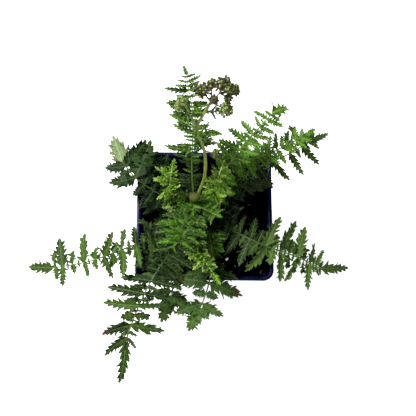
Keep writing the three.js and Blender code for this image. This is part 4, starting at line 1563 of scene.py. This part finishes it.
            # The lowest leaflets get painted shade, as they lie under the others and are older
            shade = self.lower_shade if pair.order is Order.LOWER else 0.0
            bend = -sign * habit.sweep
            self.leaflet(centre, direction, upper, length, width, bend, self.BEND_STRAY, short, shade)

    def sized(self, pair: Pair, full: float) -> tuple[float, float]:
        """Sizes a leaflet.

        Args:
            pair: The pair it belongs to.
            full: Its full length in millimetres.

        Returns:
            Its length, and its half breadth as a share of it.
        """
        SPUR_GROWTH = 1.5
        FINER_LENGTHS = (0.75, 1.25)
        width = self.habit.width
        if pair.order is Order.SPUR:
            return min(full * SPUR_SHARE, LONGEST_SPUR) * SPUR_GROWTH, width * SPUR_BREADTH
        if pair.order is Order.EXTRA:
            width *= lerp(SPUR_BREADTH, 1.0, self.habit.extra)
        if pair.is_finer():
            full *= self.finer.within(*FINER_LENGTHS)
        return full, width

    def grow_tip(self) -> None:
        """Adds the leaflet at the leaf's tip."""
        MATURE_TIP = 0.85
        shape, habit = self.shape, self.habit
        ahead, _, normal = self.spine.frame(1)
        onward = Quaternion(normal, math.radians(-shape.turn)) @ ahead
        slim = MATURE_TIP if shape.kind is Kind.MATURE else 1.0
        width = habit.tip_width or habit.width * slim
        root = self.spine.at(1) - ahead * (0.5 * habit.foot)
        side = -1 if shape.turned_over else 1
        self.leaflet(root, onward, side * normal, shape.tip, width, side * shape.bend)

    def grow_stalk(self) -> None:
        """Extrudes the leaf's stalk and rib."""
        STEPS = 22

        def radius(share: float) -> float:
            """The stalk's radius, which narrows fastest near the soil."""
            return self.shape.thick * lerp(*self.half_widths, math.sqrt(share))

        name = self.shape.name + "_stalk"
        self.parts.append(stalk(name, self.spine, radius, STEPS, Skin.STALK, self.thickness))

    def build(self, materials: Sequence[Material]) -> Piece:
        """Grows the leaf.

        Args:
            materials: Those of its upper side, its underside and its stalk.

        Returns:
            The leaf as one piece.
        """
        for pair in self.all_pairs():
            self.grow_pair(pair)
        self.grow_tip()
        self.grow_stalk()
        return assemble(self.shape.name + "_blade", self.parts, materials)


# The flowering stem and its buds

STUMP = [(-5, 2.5, SOIL_TOP), (-6.5, 3, 105), (-6.7, 3, 128)]
STUMP_RADIUS = 2.4
SHOOT = [
    (-5.6, 3, 114), (-3.2, 4.5, 130), (0.5, 10.5, 146), (0.5, 18.6, 165), (-2.8, 21.6, 185),
    (-3.4, 23.4, 192), (-0.1, 25.9, 203), (3.9, 29.3, 212),
]
SIDE_SHOOT = [(-3.3, 23, 190), (-6.4, 26.2, 203), (-9.2, 28.6, 211)]
LOW_FORK = (3.9, 29.3, 212)
HIGH_FORK = (8, 31.1, 219)
SIDE_FORK = (-9.2, 28.6, 211)
AXIL = (0.9, 19, 166)
BUD_RADIUS = 0.9
BUD_SEED = 301
HALF_RIPE = 0.5


@dataclass(frozen=True)
class Clump:
    """A dense clump of closed buds.

    Attributes:
        name: The clump's node.
        at: Its middle, in millimetres.
        radius: Its radius over the buds.
        buds: The number of buds that the part's source gives it.
        fork: Where its twig grows from.
        ripeness: The share of its buds that are ripe.
    """

    name: str
    at: Point
    radius: float
    buds: int
    fork: Point
    ripeness: float

    # The core's radius over that of the ball that the middles of the buds lie on
    CORE = 0.6

    def rise(self) -> Vector:
        """The direction from its fork to its middle."""
        return (Vector(self.at) - Vector(self.fork)).normalized()

    def core_radius(self) -> float:
        """The radius of the core that its buds hide."""
        return self.CORE * (self.radius - BUD_RADIUS)

    def twig_end(self) -> Vector:
        """Where its twig ends: at the foot of its core."""
        return Vector(self.at) - self.rise() * self.core_radius()


CLUMPS = [
    Clump("bud_clump_left", (-0.5, 32.4, 219), 3.7, 12, LOW_FORK, 0.6),
    Clump("bud_clump_back", (4.4, 33.8, 224), 2.4, 8, LOW_FORK, 0.85),
    Clump("bud_clump_top", (9.9, 31.3, 228), 3.6, 12, HIGH_FORK, 0.75),
    Clump("bud_clump_right", (14.6, 30.7, 223.5), 2.8, 9, HIGH_FORK, 0.6),
    Clump("bud_clump_middle", (5.3, 28.2, 217.5), 2.3, 7, LOW_FORK, 1.0),
    Clump("bud_clump_inner", (12, 28.9, 218.6), 2.3, 7, HIGH_FORK, 0.85),
    Clump("bud_clump_front", (10.9, 25, 213.6), 3.4, 11, LOW_FORK, 0.45),
    Clump("bud_clump_side", (-10.4, 28.1, 217), 2.4, 8, SIDE_FORK, 0.1),
    Clump("bud_clump_low", (-12, 26.2, 212.5), 2.2, 7, SIDE_FORK, 0.05),
    Clump("bud_clump_axil", (6.6, 18.1, 164), 2.7, 8, AXIL, 0.4),
]


@dataclass
class BudClump:
    """A clump of closed buds round a small core.

    Attributes:
        clump: Its sizes.
        bud: The bud that was modelled once.
        seed: The seed of its random draws.
        fuller: How many times as many buds it has as the part's source gives it.
        covered: How much of its height the buds stand on.
        reaches: The least and the greatest distance of a bud from the middle, over the source's.
        sizes: The sizes of the buds, over that of the source's.
        ripe: The tints of the ripe buds.
        unripe: The tints of the green ones.
        core_tint: The tint of the core.
    """

    clump: Clump
    bud: Piece
    seed: int
    fuller: float = 7.5
    covered: float = 0.9
    reaches: Range = (0.75, 1.6)
    sizes: Range = (0.58, 0.78)
    ripe: Range = (0.6, 1.0)
    unripe: Range = (0.1, 0.55)
    core_tint: float = 0.75

    # The angle from each bud to the next that keeps the buds evenly apart
    GOLDEN = math.pi * (3 - math.sqrt(5))

    def __post_init__(self) -> None:
        """Starts the random draws."""
        self.draws = Draws(self.seed)

    @staticmethod
    def model_bud() -> Piece:
        """Models one closed bud: a small ball, drawn out a little at its top and narrowed at its foot.

        Returns:
            The bud, with a radius of 1 and its top along z.
        """
        FOOT = -0.75
        add = bpy.ops.mesh.primitive_uv_sphere_add
        piece = primitive("bud_model", add, segments=8, ring_count=6, radius=1)
        with editing(piece):
            mesh = edit_mesh(piece)
            for vertex in mesh.verts:
                vertex.select = vertex.co.z < FOOT
            mesh.select_flush(True)
            bmesh.update_edit_mesh(piece.data)
            bpy.ops.transform.translate(value=(0, 0, -0.5))
            bpy.ops.transform.resize(value=(0.7, 0.7, 1))
        return piece

    def add_bud(self, place: Vector, rise: Vector, size: float, tint: float) -> Piece:
        """Copies the bud to a place.

        Args:
            place: Where its middle is, in millimetres.
            rise: Where its top points.
            size: Its radius in millimetres.
            tint: How ripe it is, from 0 to 1.

        Returns:
            The bud's copy.
        """
        STRETCH = (1, 1, 1.05)
        turn = np.array(rise.to_track_quat("Z", "Y").to_matrix())
        middle = np.array(place)
        twin = copy_of(self.bud, lambda points: (middle + size * (points * STRETCH) @ turn.T) * MM)
        tag(twin, "tint", tint)
        return twin

    def core(self) -> Piece:
        """The clump's core, roughened from an icosphere, which shows between the buds."""
        ROUGH = 0.3
        add = bpy.ops.mesh.primitive_ico_sphere_add
        core = primitive(self.clump.name + "_core", add, subdivisions=2, radius=1)
        middle = Vector(self.clump.at)
        for vertex in core.data.vertices:
            reach = self.clump.core_radius() * (1 + self.draws.stray(ROUGH))
            vertex.co = (middle + vertex.co * reach) * MM
        tag(core, "tint", self.core_tint)
        return core

    def build(self, material: Material) -> Piece:
        """Builds the clump as one piece."""
        clump, draws = self.clump, self.draws
        turn = UP.rotation_difference(clump.rise())
        count = round(clump.buds * self.fuller)
        parts = [self.core()]
        for k in range(count):
            height = 1 - 2 * self.covered * (k + 0.5) / count
            wide = math.sqrt(1 - height * height)
            angle = self.GOLDEN * k
            out = turn @ Vector((wide * math.cos(angle), wide * math.sin(angle), height))
            reach = (clump.radius - BUD_RADIUS) * draws.within(*self.reaches)
            size = BUD_RADIUS * draws.within(*self.sizes)
            tint = draws.within(*self.ripe)
            if draws.next() > clump.ripeness:
                tint = draws.within(*self.unripe)
            parts.append(self.add_bud(Vector(clump.at) + out * reach, out, size, tint))
        return assemble(clump.name.replace("bud_clump", "buds"), parts, [material], 60)


@dataclass
class FloweringStem:
    """The older cut stem with the shoot, the long leaf and the twigs that grow from it.

    Attributes:
        models: The leaflets that were modelled once.
        shoot_radii: The radius of the flowering shoot, at its foot and at its tip.
        side_radii: The same of the side shoot.
        twig_radii: The same of a twig to a clump of buds.
        sag: How far a twig sags in its middle.
        collar: How high the cut end is built on the stump, and how far of it is sunk in the stump.
    """

    models: Models
    shoot_radii: Range = (1.0, 0.8)
    side_radii: Range = (0.8, 0.5)
    twig_radii: Range = (0.5, 0.35)
    sag: float = 0.3
    collar: Range = (2.4, 1.9)

    # The rings from the rim of the cut end to its middle: how far in each goes, and how far up
    CUT = ((0.3, 0.0), (0.2, -0.45), (0.8, 0.12))

    def shoot(
        self, name: str, route: Sequence[Point], radii: Range, steps: int, rooted: bool = False
    ) -> Piece:
        """Makes a round shoot with faint swellings.

        Args:
            name: The part's name.
            route: Points on its middle line, in millimetres.
            radii: Its radius at its foot and at its tip.
            steps: How many stretches it has.
            rooted: True where it goes on down into the soil.

        Returns:
            The shoot.
        """
        SWELLING, PACE = 0.05, 19

        def radius(share: float) -> float:
            """The shoot's radius with its swellings."""
            return lerp(*radii, share) * (1 + SWELLING * math.sin(PACE * share))

        return stalk(name, Spine(route, rooted), radius, steps, Skin.STEM)

    def pith(self) -> Piece:
        """The cut end: a rim left standing round the sunk pith, from a cylinder inset at its top."""
        WIDER, WITHIN_RIM, LEVEL, FLAT = 1.02, 0.97, 0.9, 0.5
        top = Vector(STUMP[-1])
        tall, sunk = self.collar
        piece = primitive(
            "pith", bpy.ops.mesh.primitive_cylinder_add, vertices=14, radius=STUMP_RADIUS * WIDER * MM,
            depth=tall * MM, location=(top - UP * (sunk - tall / 2)) * MM,
        )
        settle(piece)
        with editing(piece):
            select_upward(piece, LEVEL)
            for inwards, upwards in self.CUT:
                bpy.ops.mesh.inset(thickness=inwards * MM, depth=upwards * MM)
        for face in piece.data.polygons:
            inside = (face.center - top * MM).to_2d().length < STUMP_RADIUS * WITHIN_RIM * MM
            face.material_index = Skin.PITH if inside and face.normal.z > FLAT else Skin.STEM
        tag(piece, "tint", EVEN_TINT)
        return piece

    def build(self, materials: Sequence[Material]) -> Piece:
        """Builds the stem.

        Args:
            materials: Those of a leaf's upper side, its underside, its stalk, the stem and the pith.

        Returns:
            The stem with all that grows from it, as one piece.
        """
        parts = [
            self.shoot("stump", STUMP, (STUMP_RADIUS, STUMP_RADIUS), 10, rooted=True),
            self.shoot("shoot", SHOOT, self.shoot_radii, 40),
            self.shoot("side_shoot", SIDE_SHOOT, self.side_radii, 12),
            self.pith(),
        ]
        twigs = [(LOW_FORK, HIGH_FORK)] + [(clump.fork, clump.twig_end()) for clump in CLUMPS]
        for number, (foot, end) in enumerate(twigs):
            middle = (Vector(foot) + Vector(end)) / 2 - UP * self.sag
            parts.append(self.shoot(f"twig_{number}", [foot, middle, end], self.twig_radii, 5))
        for shape in (STEM_LEAF, *BRACTS, *JOINT_LEAVES):
            parts.append(Leaf(shape, self.models).build(materials[: Skin.STEM]))
        return assemble("flowering_shoot", parts, materials, 50)


# Pot and soil


def pot_ring(half_width: float, corner: float, height: float, steps: int = 7) -> list[Vector]:
    """A rounded square, a little squeezed from front to back, whose sides bow inwards.

    Args:
        half_width: Half its width in millimetres.
        corner: The radius of its corners.
        height: Its height above the table.
        steps: The stretches of each side and of each corner.

    Returns:
        Its points, anticlockwise from above.
    """
    half_depth = half_width - SQUEEZE
    ring = []
    for side in range(4):
        turn = Matrix.Rotation(side * math.pi / 2, 3, "Z")
        out, along = (half_depth, half_width) if side % 2 else (half_width, half_depth)
        for k in range(1, steps):
            share = 2 * k / steps - 1
            ring.append((out - SIDE_BOW * (1 - share**2), (along - corner) * share, turn))
        for k in range(steps + 1):
            angle = math.pi / 2 * k / steps
            reach = corner * math.cos(angle), corner * math.sin(angle)
            ring.append((out - corner + reach[0], along - corner + reach[1], turn))
    return [turn @ Vector((x, y, height)) for x, y, turn in ring]


def wall_half_width(height: float) -> float:
    """Half the width of the pot's wall over its outer faces, at a height."""
    return lerp(BASE_WIDTH / 2, RIM_WIDTH / 2 - BAND_PROUD, height / POT_HEIGHT)


def wall_ring(height: float, proud: float = 0.0) -> list[Vector]:
    """The ring of the pot's wall at a height, standing proud of its outer face or inset from it."""
    SHARPEST_CORNER = 1.0
    corner = lerp(BASE_CORNER, RIM_CORNER - BAND_PROUD, height / POT_HEIGHT)
    return pot_ring(wall_half_width(height) + proud, max(corner + proud, SHARPEST_CORNER), height)


@dataclass
class NurseryPot:
    """The square pot of thin plastic.

    Attributes:
        bevel: The size of the bevels at its foot and its rim.
        ledge: How far above the band's foot a ring runs round the inside.
        wear_and_glint_depth: How far below the rim the plastic is worn bright and painted with glints.
    """

    bevel: float = 0.7
    ledge: float = 4.0
    wear_and_glint_depth: float = 2.5

    def rings(self) -> list[list[Vector]]:
        """The pot's rings, from the outside of its foot over the rim to the inside of its base."""
        band, top = POT_HEIGHT - BAND_HEIGHT, POT_HEIGHT
        bevel, half = self.bevel, self.bevel * 0.3
        places = [
            # Up the outside: the foot's bevel, the wall, the step out to the band, and the rim's bevel
            (0, -bevel), (half, -half), (bevel, 0),
            (6, 0), (band * 0.4, 0), (band * 0.7, 0), (band - 1.2, 0),
            (band - 0.3, BAND_PROUD - 0.35), (band + 0.2, BAND_PROUD),
            (top - bevel, BAND_PROUD), (top - half, BAND_PROUD - half), (top, BAND_PROUD - bevel),
            # Down the inside: the rim's bevel, the wall, and the curve into the base
            (top, bevel - WALL), (top - half, half - WALL), (top - bevel, -WALL),
            (band + self.ledge, -WALL), (band * 0.6, -WALL), (WALL + 1, -WALL), (WALL, -WALL - 1),
        ]
        return [wall_ring(height, proud) for height, proud in places]

    def cut_drains(self, piece: Piece) -> None:
        """Cuts a drain hole near each corner of the base."""
        cutters = [
            primitive(
                "drain", bpy.ops.mesh.primitive_cylinder_add, vertices=32, radius=DRAIN_RADIUS * MM,
                depth=4 * WALL * MM, location=(x * MM, y * MM, 0),
            )
            for x in (-DRAIN_OFFSET, DRAIN_OFFSET)
            for y in (-DRAIN_OFFSET, DRAIN_OFFSET)
        ]
        cutter = join("drains", cutters)
        settle(cutter)
        cut = piece.modifiers.new("Drains", "BOOLEAN")
        cut.operation = "DIFFERENCE"
        cut.object = cutter
        finish_modifiers(piece)
        discard(cutter)

    def mark_rim(self, piece: Piece) -> None:
        """Tags how near each point is to the rim, where the plastic is worn bright and painted with glints.
        """
        below = [POT_HEIGHT - vertex.co.z / MM for vertex in piece.data.vertices]
        tag(piece, "rim", [max(0.0, 1 - depth / self.wear_and_glint_depth) for depth in below])

    def build(self, material: Material) -> Piece:
        """Builds the pot."""
        first, *others = self.rings()
        piece = ring_start("pot_shell", first)
        extrude_rings(piece, others)
        mend(piece)
        self.cut_drains(piece)
        self.mark_rim(piece)
        smooth(piece, 40)
        paint(piece, material)
        return piece


def lumps(x: float, y: float) -> float:
    """The lumps of the soil's surface above its mean level, as in the part's source."""
    return SOIL_LUMPS * (
        0.5 * math.sin(0.31 * x + 1.1) * math.cos(0.27 * y)
        + 0.35 * math.sin(0.62 * x - 0.45 * y)
        + 0.25 * math.cos(0.9 * y + 0.5 * x + 2)
    )


@dataclass
class Soil:
    """The compost with its crumbs, bits of bark and grains of perlite.

    Attributes:
        crown_rise: How much higher the soil is in its middle.
        rough: How far the points of its surface stray up and down.
        crumbs: The number of loose crumbs.
        crumb_sizes: The least and the greatest of their sizes.
        chips: The number of bits of bark that lie at random.
        chip_sizes: The least and the greatest of their sizes.
        shown_size: The size of the bits that the picture shows.
        shown_tints: Their tints.
        seed: The seed of the random draws.
    """

    crown_rise: float = 2.0
    rough: float = 1.3
    crumbs: int = 420
    crumb_sizes: Range = (0.5, 1.5)
    chips: int = 46
    chip_sizes: Range = (0.5, 1.3)
    shown_size: float = 1.3
    shown_tints: Range = (0.7, 1.0)
    seed: int = 211

    # Where the white and grey grains lie, and each one's radius and lightness
    GRAINS = (
        (28.2, -10.0, 0.95, 1.0), (15.0, -27.6, 1.15, 0.8), (20.3, -32.3, 0.6, 0.35),
        (31.1, -18.9, 0.6, 0.4), (31.0, 23.2, 0.5, 0.9), (35.1, 22.5, 0.45, 0.9),
        (-35.1, 28.1, 0.5, 0.9), (21.3, 8.5, 0.4, 0.3), (33.0, 5.5, 0.4, 0.25),
        (-30.0, -36.0, 0.6, 0.5), (-37.5, 14.0, 0.5, 0.4), (8.0, 38.0, 0.5, 0.4),
    )
    # Where the bark that the picture shows lies
    BARK = ((28.3, -31.0), (35.0, -22.9), (37.4, -36.3), (40.0, -38.3), (30.1, 9.2), (36.5, -30.0))

    def __post_init__(self) -> None:
        """Starts the random draws and measures the soil's edge."""
        self.draws = Draws(self.seed)
        self.reach = wall_half_width(SOIL_TOP) - WALL - CLEARANCE

    def height(self, x: float, y: float) -> float:
        """The height of the soil's surface at a place, in millimetres."""
        share = min(1.0, max(abs(x), abs(y)) / self.reach)
        return SOIL_TOP + lumps(x, y) + self.crown_rise * (1 - share)

    def body(self, material: Material) -> Piece:
        """Extrudes the soil up through the pot, divides its top finely and roughens it."""
        SHARES = (0.97, 0.9, 0.8, 0.7, 0.6, 0.5, 0.4, 0.3, 0.2, 0.1)
        HALFWAY = 30
        EDGE_DROP = 1.5
        SURFACE = 1.4
        LEVEL = 0.5
        gap = WALL + CLEARANCE
        edge = wall_ring(SOIL_TOP, -gap)
        rings = [wall_ring(height, -gap) for height in (gap + 1, HALFWAY, SOIL_TOP - EDGE_DROP)]
        for share in SHARES:
            flat = [Vector((point.x * share, point.y * share, 0)) for point in edge]
            rings.append([point + UP * self.height(point.x, point.y) for point in flat])
        piece = ring_start("soil_body", wall_ring(gap, -gap - 1))
        extrude_rings(piece, rings)
        with editing(piece):
            select_upward(piece, LEVEL)
            bpy.ops.mesh.quads_convert_to_tris()
            bpy.ops.mesh.subdivide(number_cuts=2, fractal=0)
        mend(piece)
        for vertex in piece.data.vertices:
            if vertex.co.z > (SOIL_TOP - SURFACE) * MM:
                vertex.co.z += self.draws.stray(self.rough) * MM
        smooth(piece, 80)
        paint(piece, material)
        return piece

    def spot(self) -> tuple[float, float]:
        """A random place on the soil, clear of its edge."""
        EDGE = 1.5
        reach = self.reach - EDGE
        return self.draws.stray(2 * reach), self.draws.stray(2 * (reach - SQUEEZE))

    def model_crumb(self) -> Piece:
        """Models one crumb: an icosphere with its corners drawn in and out."""
        ROUGH = 0.35
        add = bpy.ops.mesh.primitive_ico_sphere_add
        piece = primitive("crumb_model", add, subdivisions=1, radius=1)
        with editing(piece, selected=True):
            bpy.ops.transform.resize(value=(1, 0.8, 0.6))
            bpy.ops.mesh.subdivide(number_cuts=1, smoothness=1)
        for vertex in piece.data.vertices:
            vertex.co *= 1 + self.draws.stray(ROUGH)
        return piece

    def model_chip(self) -> Piece:
        """Models one bit of bark: a cube drawn out long and thin, split, bent and with ragged ends."""
        BEND, ROUGH, RAGGED = 0.15, 0.1, 0.14
        piece = primitive("chip_model", bpy.ops.mesh.primitive_cube_add, size=1)
        with editing(piece, selected=True):
            bpy.ops.transform.resize(value=(2.2, 0.8, 0.3))
            bpy.ops.mesh.subdivide(number_cuts=2)
            bpy.ops.mesh.bevel(offset=0.05, segments=1)
        for vertex in piece.data.vertices:
            vertex.co.z += BEND * vertex.co.x**2 + self.draws.stray(ROUGH)
            vertex.co.y += self.draws.stray(RAGGED)
        return piece

    def scatter(
        self, name: str, model: Piece, places: Iterable[Sequence[float]], material: Material
    ) -> Piece:
        """Copies a model to places on the soil.

        Args:
            name: The joined piece's name.
            model: What was modelled once, with a size of about one.
            places: For each copy its x and y in millimetres, its size and its tint.
            material: The material of all copies.

        Returns:
            All copies as one piece.
        """
        RAISED = 0.25
        STEEPNESS = 2
        parts = []
        for x, y, size, tint in places:
            axis = Vector((self.draws.stray(1), self.draws.stray(1), STEEPNESS))
            turn = Quaternion(axis.normalized(), 2 * math.pi * self.draws.next())
            matrix = np.array(turn.to_matrix())
            middle = np.array((x, y, self.height(x, y) + RAISED * size))
            parts.append(copy_of(model, lambda points: (middle + size * points @ matrix.T) * MM))
            tag(parts[-1], "tint", tint)
        return assemble(name, parts, [material], 40)

    def build(self, compost: Material, bark: Material, perlite: Material) -> list[Piece]:
        """Builds the soil and what lies on it.

        Args:
            compost: The material of the soil and its crumbs.
            bark: The material of the bits of bark.
            perlite: The material of the white grains.

        Returns:
            The soil, the crumbs, the bark and the grains.
        """
        DARK_TINTS = 0.4
        crumb, chip = self.model_crumb(), self.model_chip()
        draws = self.draws
        crumbs, chips = [], []
        for _ in range(self.crumbs):
            crumbs.append((*self.spot(), lerp(*self.crumb_sizes, draws.next() ** 2), draws.next()))
        for _ in range(self.chips):
            chips.append((*self.spot(), draws.within(*self.chip_sizes), DARK_TINTS * draws.next()))
        chips += [(x, y, self.shown_size, draws.within(*self.shown_tints)) for x, y in self.BARK]
        pieces = [
            self.body(compost),
            self.scatter("soil_crumbs", crumb, crumbs, compost),
            self.scatter("soil_bark", chip, chips, bark),
            self.scatter("soil_grains", crumb, self.GRAINS, perlite),
        ]
        discard(crumb, chip)
        return pieces


@dataclass
class Studio:
    """The white table, the soft lights and the camera. Its sizes are in metres.

    Attributes:
        table_size: The table's width.
        table_thickness: Its thickness.
        below: How far its top lies below the pot's foot, so that the two faces don't share a plane.
        light_size: The width of a light.
        key_power: The power of the main light, in watts.
        fill_power: The power of the one from the other side.
        glow: How bright the room is.
        aim: The point that the lights shine on.
    """

    table_size: float = 3.0
    table_thickness: float = 0.03
    below: float = 0.0001
    light_size: float = 0.22
    key_power: float = 25.0
    fill_power: float = 7.5
    glow: float = 0.08
    aim: Point = (0, 0, 0.1)

    def table(self) -> None:
        """Lays the table top, its edge turned down by an extrusion."""
        top = primitive("table_top", bpy.ops.mesh.primitive_plane_add, size=self.table_size)
        with editing(top, selected=True):
            down = {"value": (0, 0, -self.table_thickness)}
            bpy.ops.mesh.extrude_region_move(TRANSFORM_OT_translate=down)
        mend(top)
        for vertex in top.data.vertices:
            vertex.co.z -= self.below
        paint(top, FloorFinish().material())

    def light(self, name: str, place: Point, power: float) -> None:
        """Hangs a soft square light that shines on the plant.

        Args:
            name: The light's name.
            place: Where it hangs, in metres.
            power: Its power in watts.
        """
        data = bpy.data.lights.new(name, "AREA")
        data.shape = "SQUARE"
        data.size = self.light_size
        data.energy = power
        lamp = add_object(name, data)
        lamp.location = Vector(place)
        lamp.rotation_mode = "QUATERNION"
        lamp.rotation_quaternion = (Vector(self.aim) - lamp.location).to_track_quat("-Z", "Y")

    def sky(self) -> None:
        """Lights the room evenly and faintly, with walls that look as white as the table."""
        world = bpy.data.worlds.new("white_room")
        world.use_nodes = True
        tree = world.node_tree
        background = tree.nodes["Background"]
        background.inputs["Color"].default_value = (1, 1, 1, 1)
        seen = tree.nodes.new("ShaderNodeLightPath")
        strength = tree.nodes.new("ShaderNodeMath")
        strength.operation = "MAXIMUM"
        strength.inputs[1].default_value = self.glow
        tree.links.new(seen.outputs["Is Camera Ray"], strength.inputs[0])
        tree.links.new(strength.outputs[0], background.inputs["Strength"])
        bpy.context.scene.world = world

    def camera(self) -> None:
        """Sets up the photo's camera: nearly straight above, leaning a little to the front."""
        tilt = math.radians(CAMERA_TILT)
        data = bpy.data.cameras.new("photo_camera")
        data.sensor_width = 36
        data.lens = data.sensor_width * FOCAL_WIDTHS
        data.clip_start = 0.01
        camera = add_object("photo_camera", data)
        back = Vector((0, -math.sin(tilt), math.cos(tilt)))
        camera.location = (CAMERA_AIM + back * CAMERA_DISTANCE) * MM
        camera.rotation_euler = (tilt, 0, 0)
        bpy.context.scene.camera = camera

    def build(self) -> None:
        """Builds the studio."""
        self.table()
        self.light("key_light", (-0.5, 0.35, 1.0), self.key_power)
        self.light("fill_light", (0.4, -0.7, 0.9), self.fill_power)
        self.sky()
        self.camera()
        bpy.context.scene.view_settings.view_transform = "Standard"


# Finishes of the plant

LEAF_UPPER = {
    Kind.MATURE: LeafFinish(
        "mature_upper", rgb(6, 26, 2), rgb(58, 84, 26), rgb(118, 142, 78), edge_strength=0.42, shade=0.55
    ),
    Kind.CLOSE: LeafFinish(
        "fine_upper", rgb(4, 28, 0), rgb(64, 104, 20), rgb(146, 174, 88), 4, rib_strength=0.4,
        edge_strength=0.6,
    ),
    Kind.BROAD: LeafFinish(
        "broad_upper", rgb(6, 26, 4), rgb(58, 86, 32), rgb(108, 132, 78), rib_strength=0.22, shade=0.5
    ),
    Kind.YOUNG: LeafFinish(
        "young_upper", rgb(24, 60, 0), rgb(118, 166, 36), rgb(200, 220, 130), 3, rib_strength=0.4,
        edge_strength=0.65, tip_strength=0.25,
    ),
}
LEAF_UNDER = {
    Kind.MATURE: LeafFinish("mature_under", rgb(50, 74, 34), rgb(102, 122, 76), rgb(146, 160, 116)),
    Kind.CLOSE: LeafFinish("fine_under", rgb(46, 76, 26), rgb(104, 132, 66), rgb(146, 166, 104), veins=4),
    Kind.BROAD: LeafFinish("broad_under", rgb(70, 90, 52), rgb(140, 152, 110), rgb(158, 168, 130)),
    Kind.YOUNG: LeafFinish("young_under", rgb(66, 106, 20), rgb(140, 176, 62), rgb(188, 208, 124), veins=3),
}
LEAF_STALK = {
    Kind.MATURE: StalkFinish("mature_stalk", rgb(68, 92, 30), rgb(126, 146, 68), 0.8),
    Kind.CLOSE: StalkFinish("fine_stalk", rgb(84, 110, 42), rgb(146, 166, 88), 0.3),
    Kind.BROAD: StalkFinish("broad_stalk", rgb(58, 82, 32), rgb(110, 132, 68), 0.7),
    Kind.YOUNG: StalkFinish("young_stalk", rgb(146, 172, 90), rgb(200, 212, 148)),
}
STEM = StalkFinish("stem_skin", rgb(80, 98, 24), rgb(126, 138, 48))
BARK = GrainFinish("bark", rgb(14, 11, 8), rgb(84, 64, 46))
PERLITE = GrainFinish("perlite", rgb(90, 84, 72), rgb(236, 230, 212))


def place_piece(piece: Piece, slot: str, *nodes: str) -> None:
    """Hands a finished piece to the frame.

    Args:
        piece: The finished piece.
        slot: The record's material slot for the piece. It is not used.
        nodes: The CAD nodes that it stands for.
    """
    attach(piece, BODY)
    if nodes:
        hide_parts(*nodes)
    faces = len(piece.data.polygons)
    log.info("%s: %d faces, for %s", piece.name, faces, ", ".join(nodes) or "no node")


def main() -> None:
    """Builds every piece of the plant, its pot and the studio."""
    logging.basicConfig(level=logging.INFO, format="%(name)s %(message)s")
    Studio().build()

    place_piece(NurseryPot().build(PlasticFinish().material()), "pot", "pot")
    body, *loose = Soil().build(CompostFinish().material(), BARK.material(), PERLITE.material())
    place_piece(body, "soil", "soil")
    for piece in loose:
        place_piece(piece, "soil")

    models = {
        kind: [pattern.model(f"leaflet_{kind.name}_{k}", LEAFLET_SEED + k) for k in range(VARIANTS)]
        for kind, pattern in {**PATTERNS, Order.SPUR: SPUR_PATTERN}.items()
    }
    dress = {
        kind: [finishes[kind].material() for finishes in (LEAF_UPPER, LEAF_UNDER, LEAF_STALK)]
        for kind in Kind
    }
    for shape in LEAVES:
        slot = "young_leaf" if shape.kind is Kind.YOUNG else "leaf"
        place_piece(Leaf(shape, models).build(dress[shape.kind]), slot, shape.name)

    skins = [*dress[Kind.CLOSE], STEM.material(), PithFinish().material()]
    place_piece(FloweringStem(models).build(skins), "stem", "flowering_stem")

    bud = BudClump.model_bud()
    buds = BudFinish().material()
    for number, clump in enumerate(CLUMPS):
        slot = "ripe_buds" if clump.ripeness > HALF_RIPE else "green_buds"
        place_piece(BudClump(clump, bud, BUD_SEED + number).build(buds), slot, clump.name)
    discard(bud, *(model for group in models.values() for model in group))


if __name__ == "__main__":
    main()
